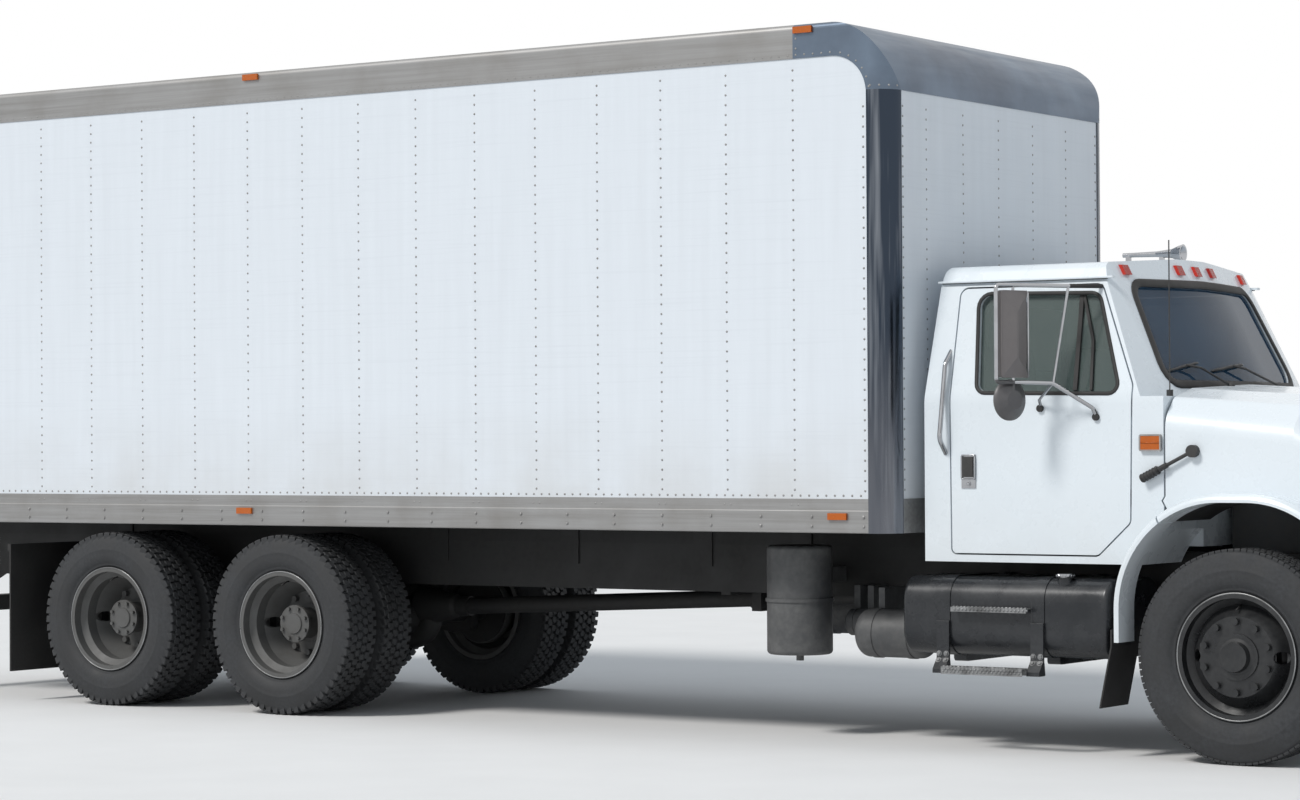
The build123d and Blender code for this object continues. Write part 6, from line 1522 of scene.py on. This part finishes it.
# %% Lamp rings, hinge bolts and door seals
REAR_FACE, TAIL_LAMP_Z = -5.032, 1.128
TAIL_RING = softened([(0.050, -0.002), (0.059, -0.002), (0.059, 0.008), (0.050, 0.010)])
LOW_HINGE_Z, HIGH_HINGE_Z = 1.406, 3.294
HINGE_ZS = [LOW_HINGE_Z + (HIGH_HINGE_Z - LOW_HINGE_Z) * i / 3 for i in range(4)]
HINGE_PLATE_Y, HINGE_PLATE_HALF = (0.7784, 1.1140), 0.0316
HINGE_BOLT_Y, HINGE_BOLT_DZ = (0.830, 0.930, 1.060, 1.160), (-0.013, 0.013)
LEAF_SEAL = rectangle(0.012, 1.107, 1.229, 3.465, 0.010, 2)
SEAL_PROFILE = [(-0.007, -0.002), (-0.007, 0.002), (-0.002, 0.005), (0.004, 0.003), (0.007, -0.002)]
# a rear door's edge, and a (y, z) spot on its bare face
LEAF_EDGE, BARE_LEAF = 1.113, (0.5, 2.0)
PLATE_PROUD, PLATE_SUNK = 0.0136, 0.0002
extra_finish("zinc_plate", dusty(
    "zinc_plate_finish", (0.33, 0.335, 0.34), (0.19, 0.185, 0.175), 0.6, 0.42, 24.0, 0.0003, Metallic=0.6))


def off_leaf(leaf_x):
    """A test for the faces that stand behind the leaf or past its edge."""
    def keep(place, normal):
        return place.x < leaf_x - 0.0005 or abs(place.y) > LEAF_EDGE + 0.001
    return keep


lamp_ys = [sign * y for side, sign in SIDES for y in (0.980, 0.860)]
for i, y in enumerate(lamp_ys):
    place = Matrix.Translation((REAR_FACE, y, TAIL_LAMP_Z)) @ Matrix.Rotation(math.radians(90), 4, "Z")
    turned(f"tail_lamp_ring_{i + 1}", TAIL_RING, 40, place, "rubber", "truck")
for side, sign in SIDES:
    door = f"rear_door_{side}"
    leaf_x = landing(door, (BEHIND, sign * BARE_LEAF[0], BARE_LEAF[1]), (1, 0, 0))[0].x
    gear = peeled(f"rear_door_gear_{side}", door, off_leaf(leaf_x), "zinc_plate", door, 0.0006)
    for face in gear.data.polygons:
        face.use_smooth = False
    y0, y1 = sorted(sign * y for y in HINGE_PLATE_Y)
    plates = []
    for z in HINGE_ZS:
        low, high = z - HINGE_PLATE_HALF, z + HINGE_PLATE_HALF
        plates.append((leaf_x - PLATE_PROUD, leaf_x + PLATE_SUNK, y0, y1, low, high))
    blocks(f"rear_hinge_plates_{side}", plates, "zinc_plate", door, 0.0015)
    path = end_path([(sign * y, z) for y, z in LEAF_SEAL], leaf_x)
    swept(f"rear_door_seal_{side}", path, SEAL_PROFILE, "rubber", door)
    starts = [(BEHIND, sign * y, z + dz) for z in HINGE_ZS for y in HINGE_BOLT_Y for dz in HINGE_BOLT_DZ]
    spots = landings(door, starts, (1, 0, 0))
    put_heads(f"rear_hinge_bolts_{side}", spots, SMALL_BOLT, "zinc_plate", door, 0.9)

# %% [markdown]
# ## Clearing away the helpers
# The single rivet and bolt heads were only patterns to copy, so they go before the truck is
# measured. Everything left in the file is a piece of the truck, the floor, a lamp or the camera.

# %% Remove the pattern heads
for pattern in (RIVET, SMALL_BOLT, BOLT, TOOTH):
    bpy.data.objects.remove(pattern)
shown = [o for o in bpy.context.scene.objects if o.type == "MESH" and not o.hide_render and o is not floor]
triangles = [sum(len(p.vertices) - 2 for p in o.data.polygons) for o in shown]
print("pieces shown", len(shown), "triangles", sum(triangles), "most in one", max(triangles))
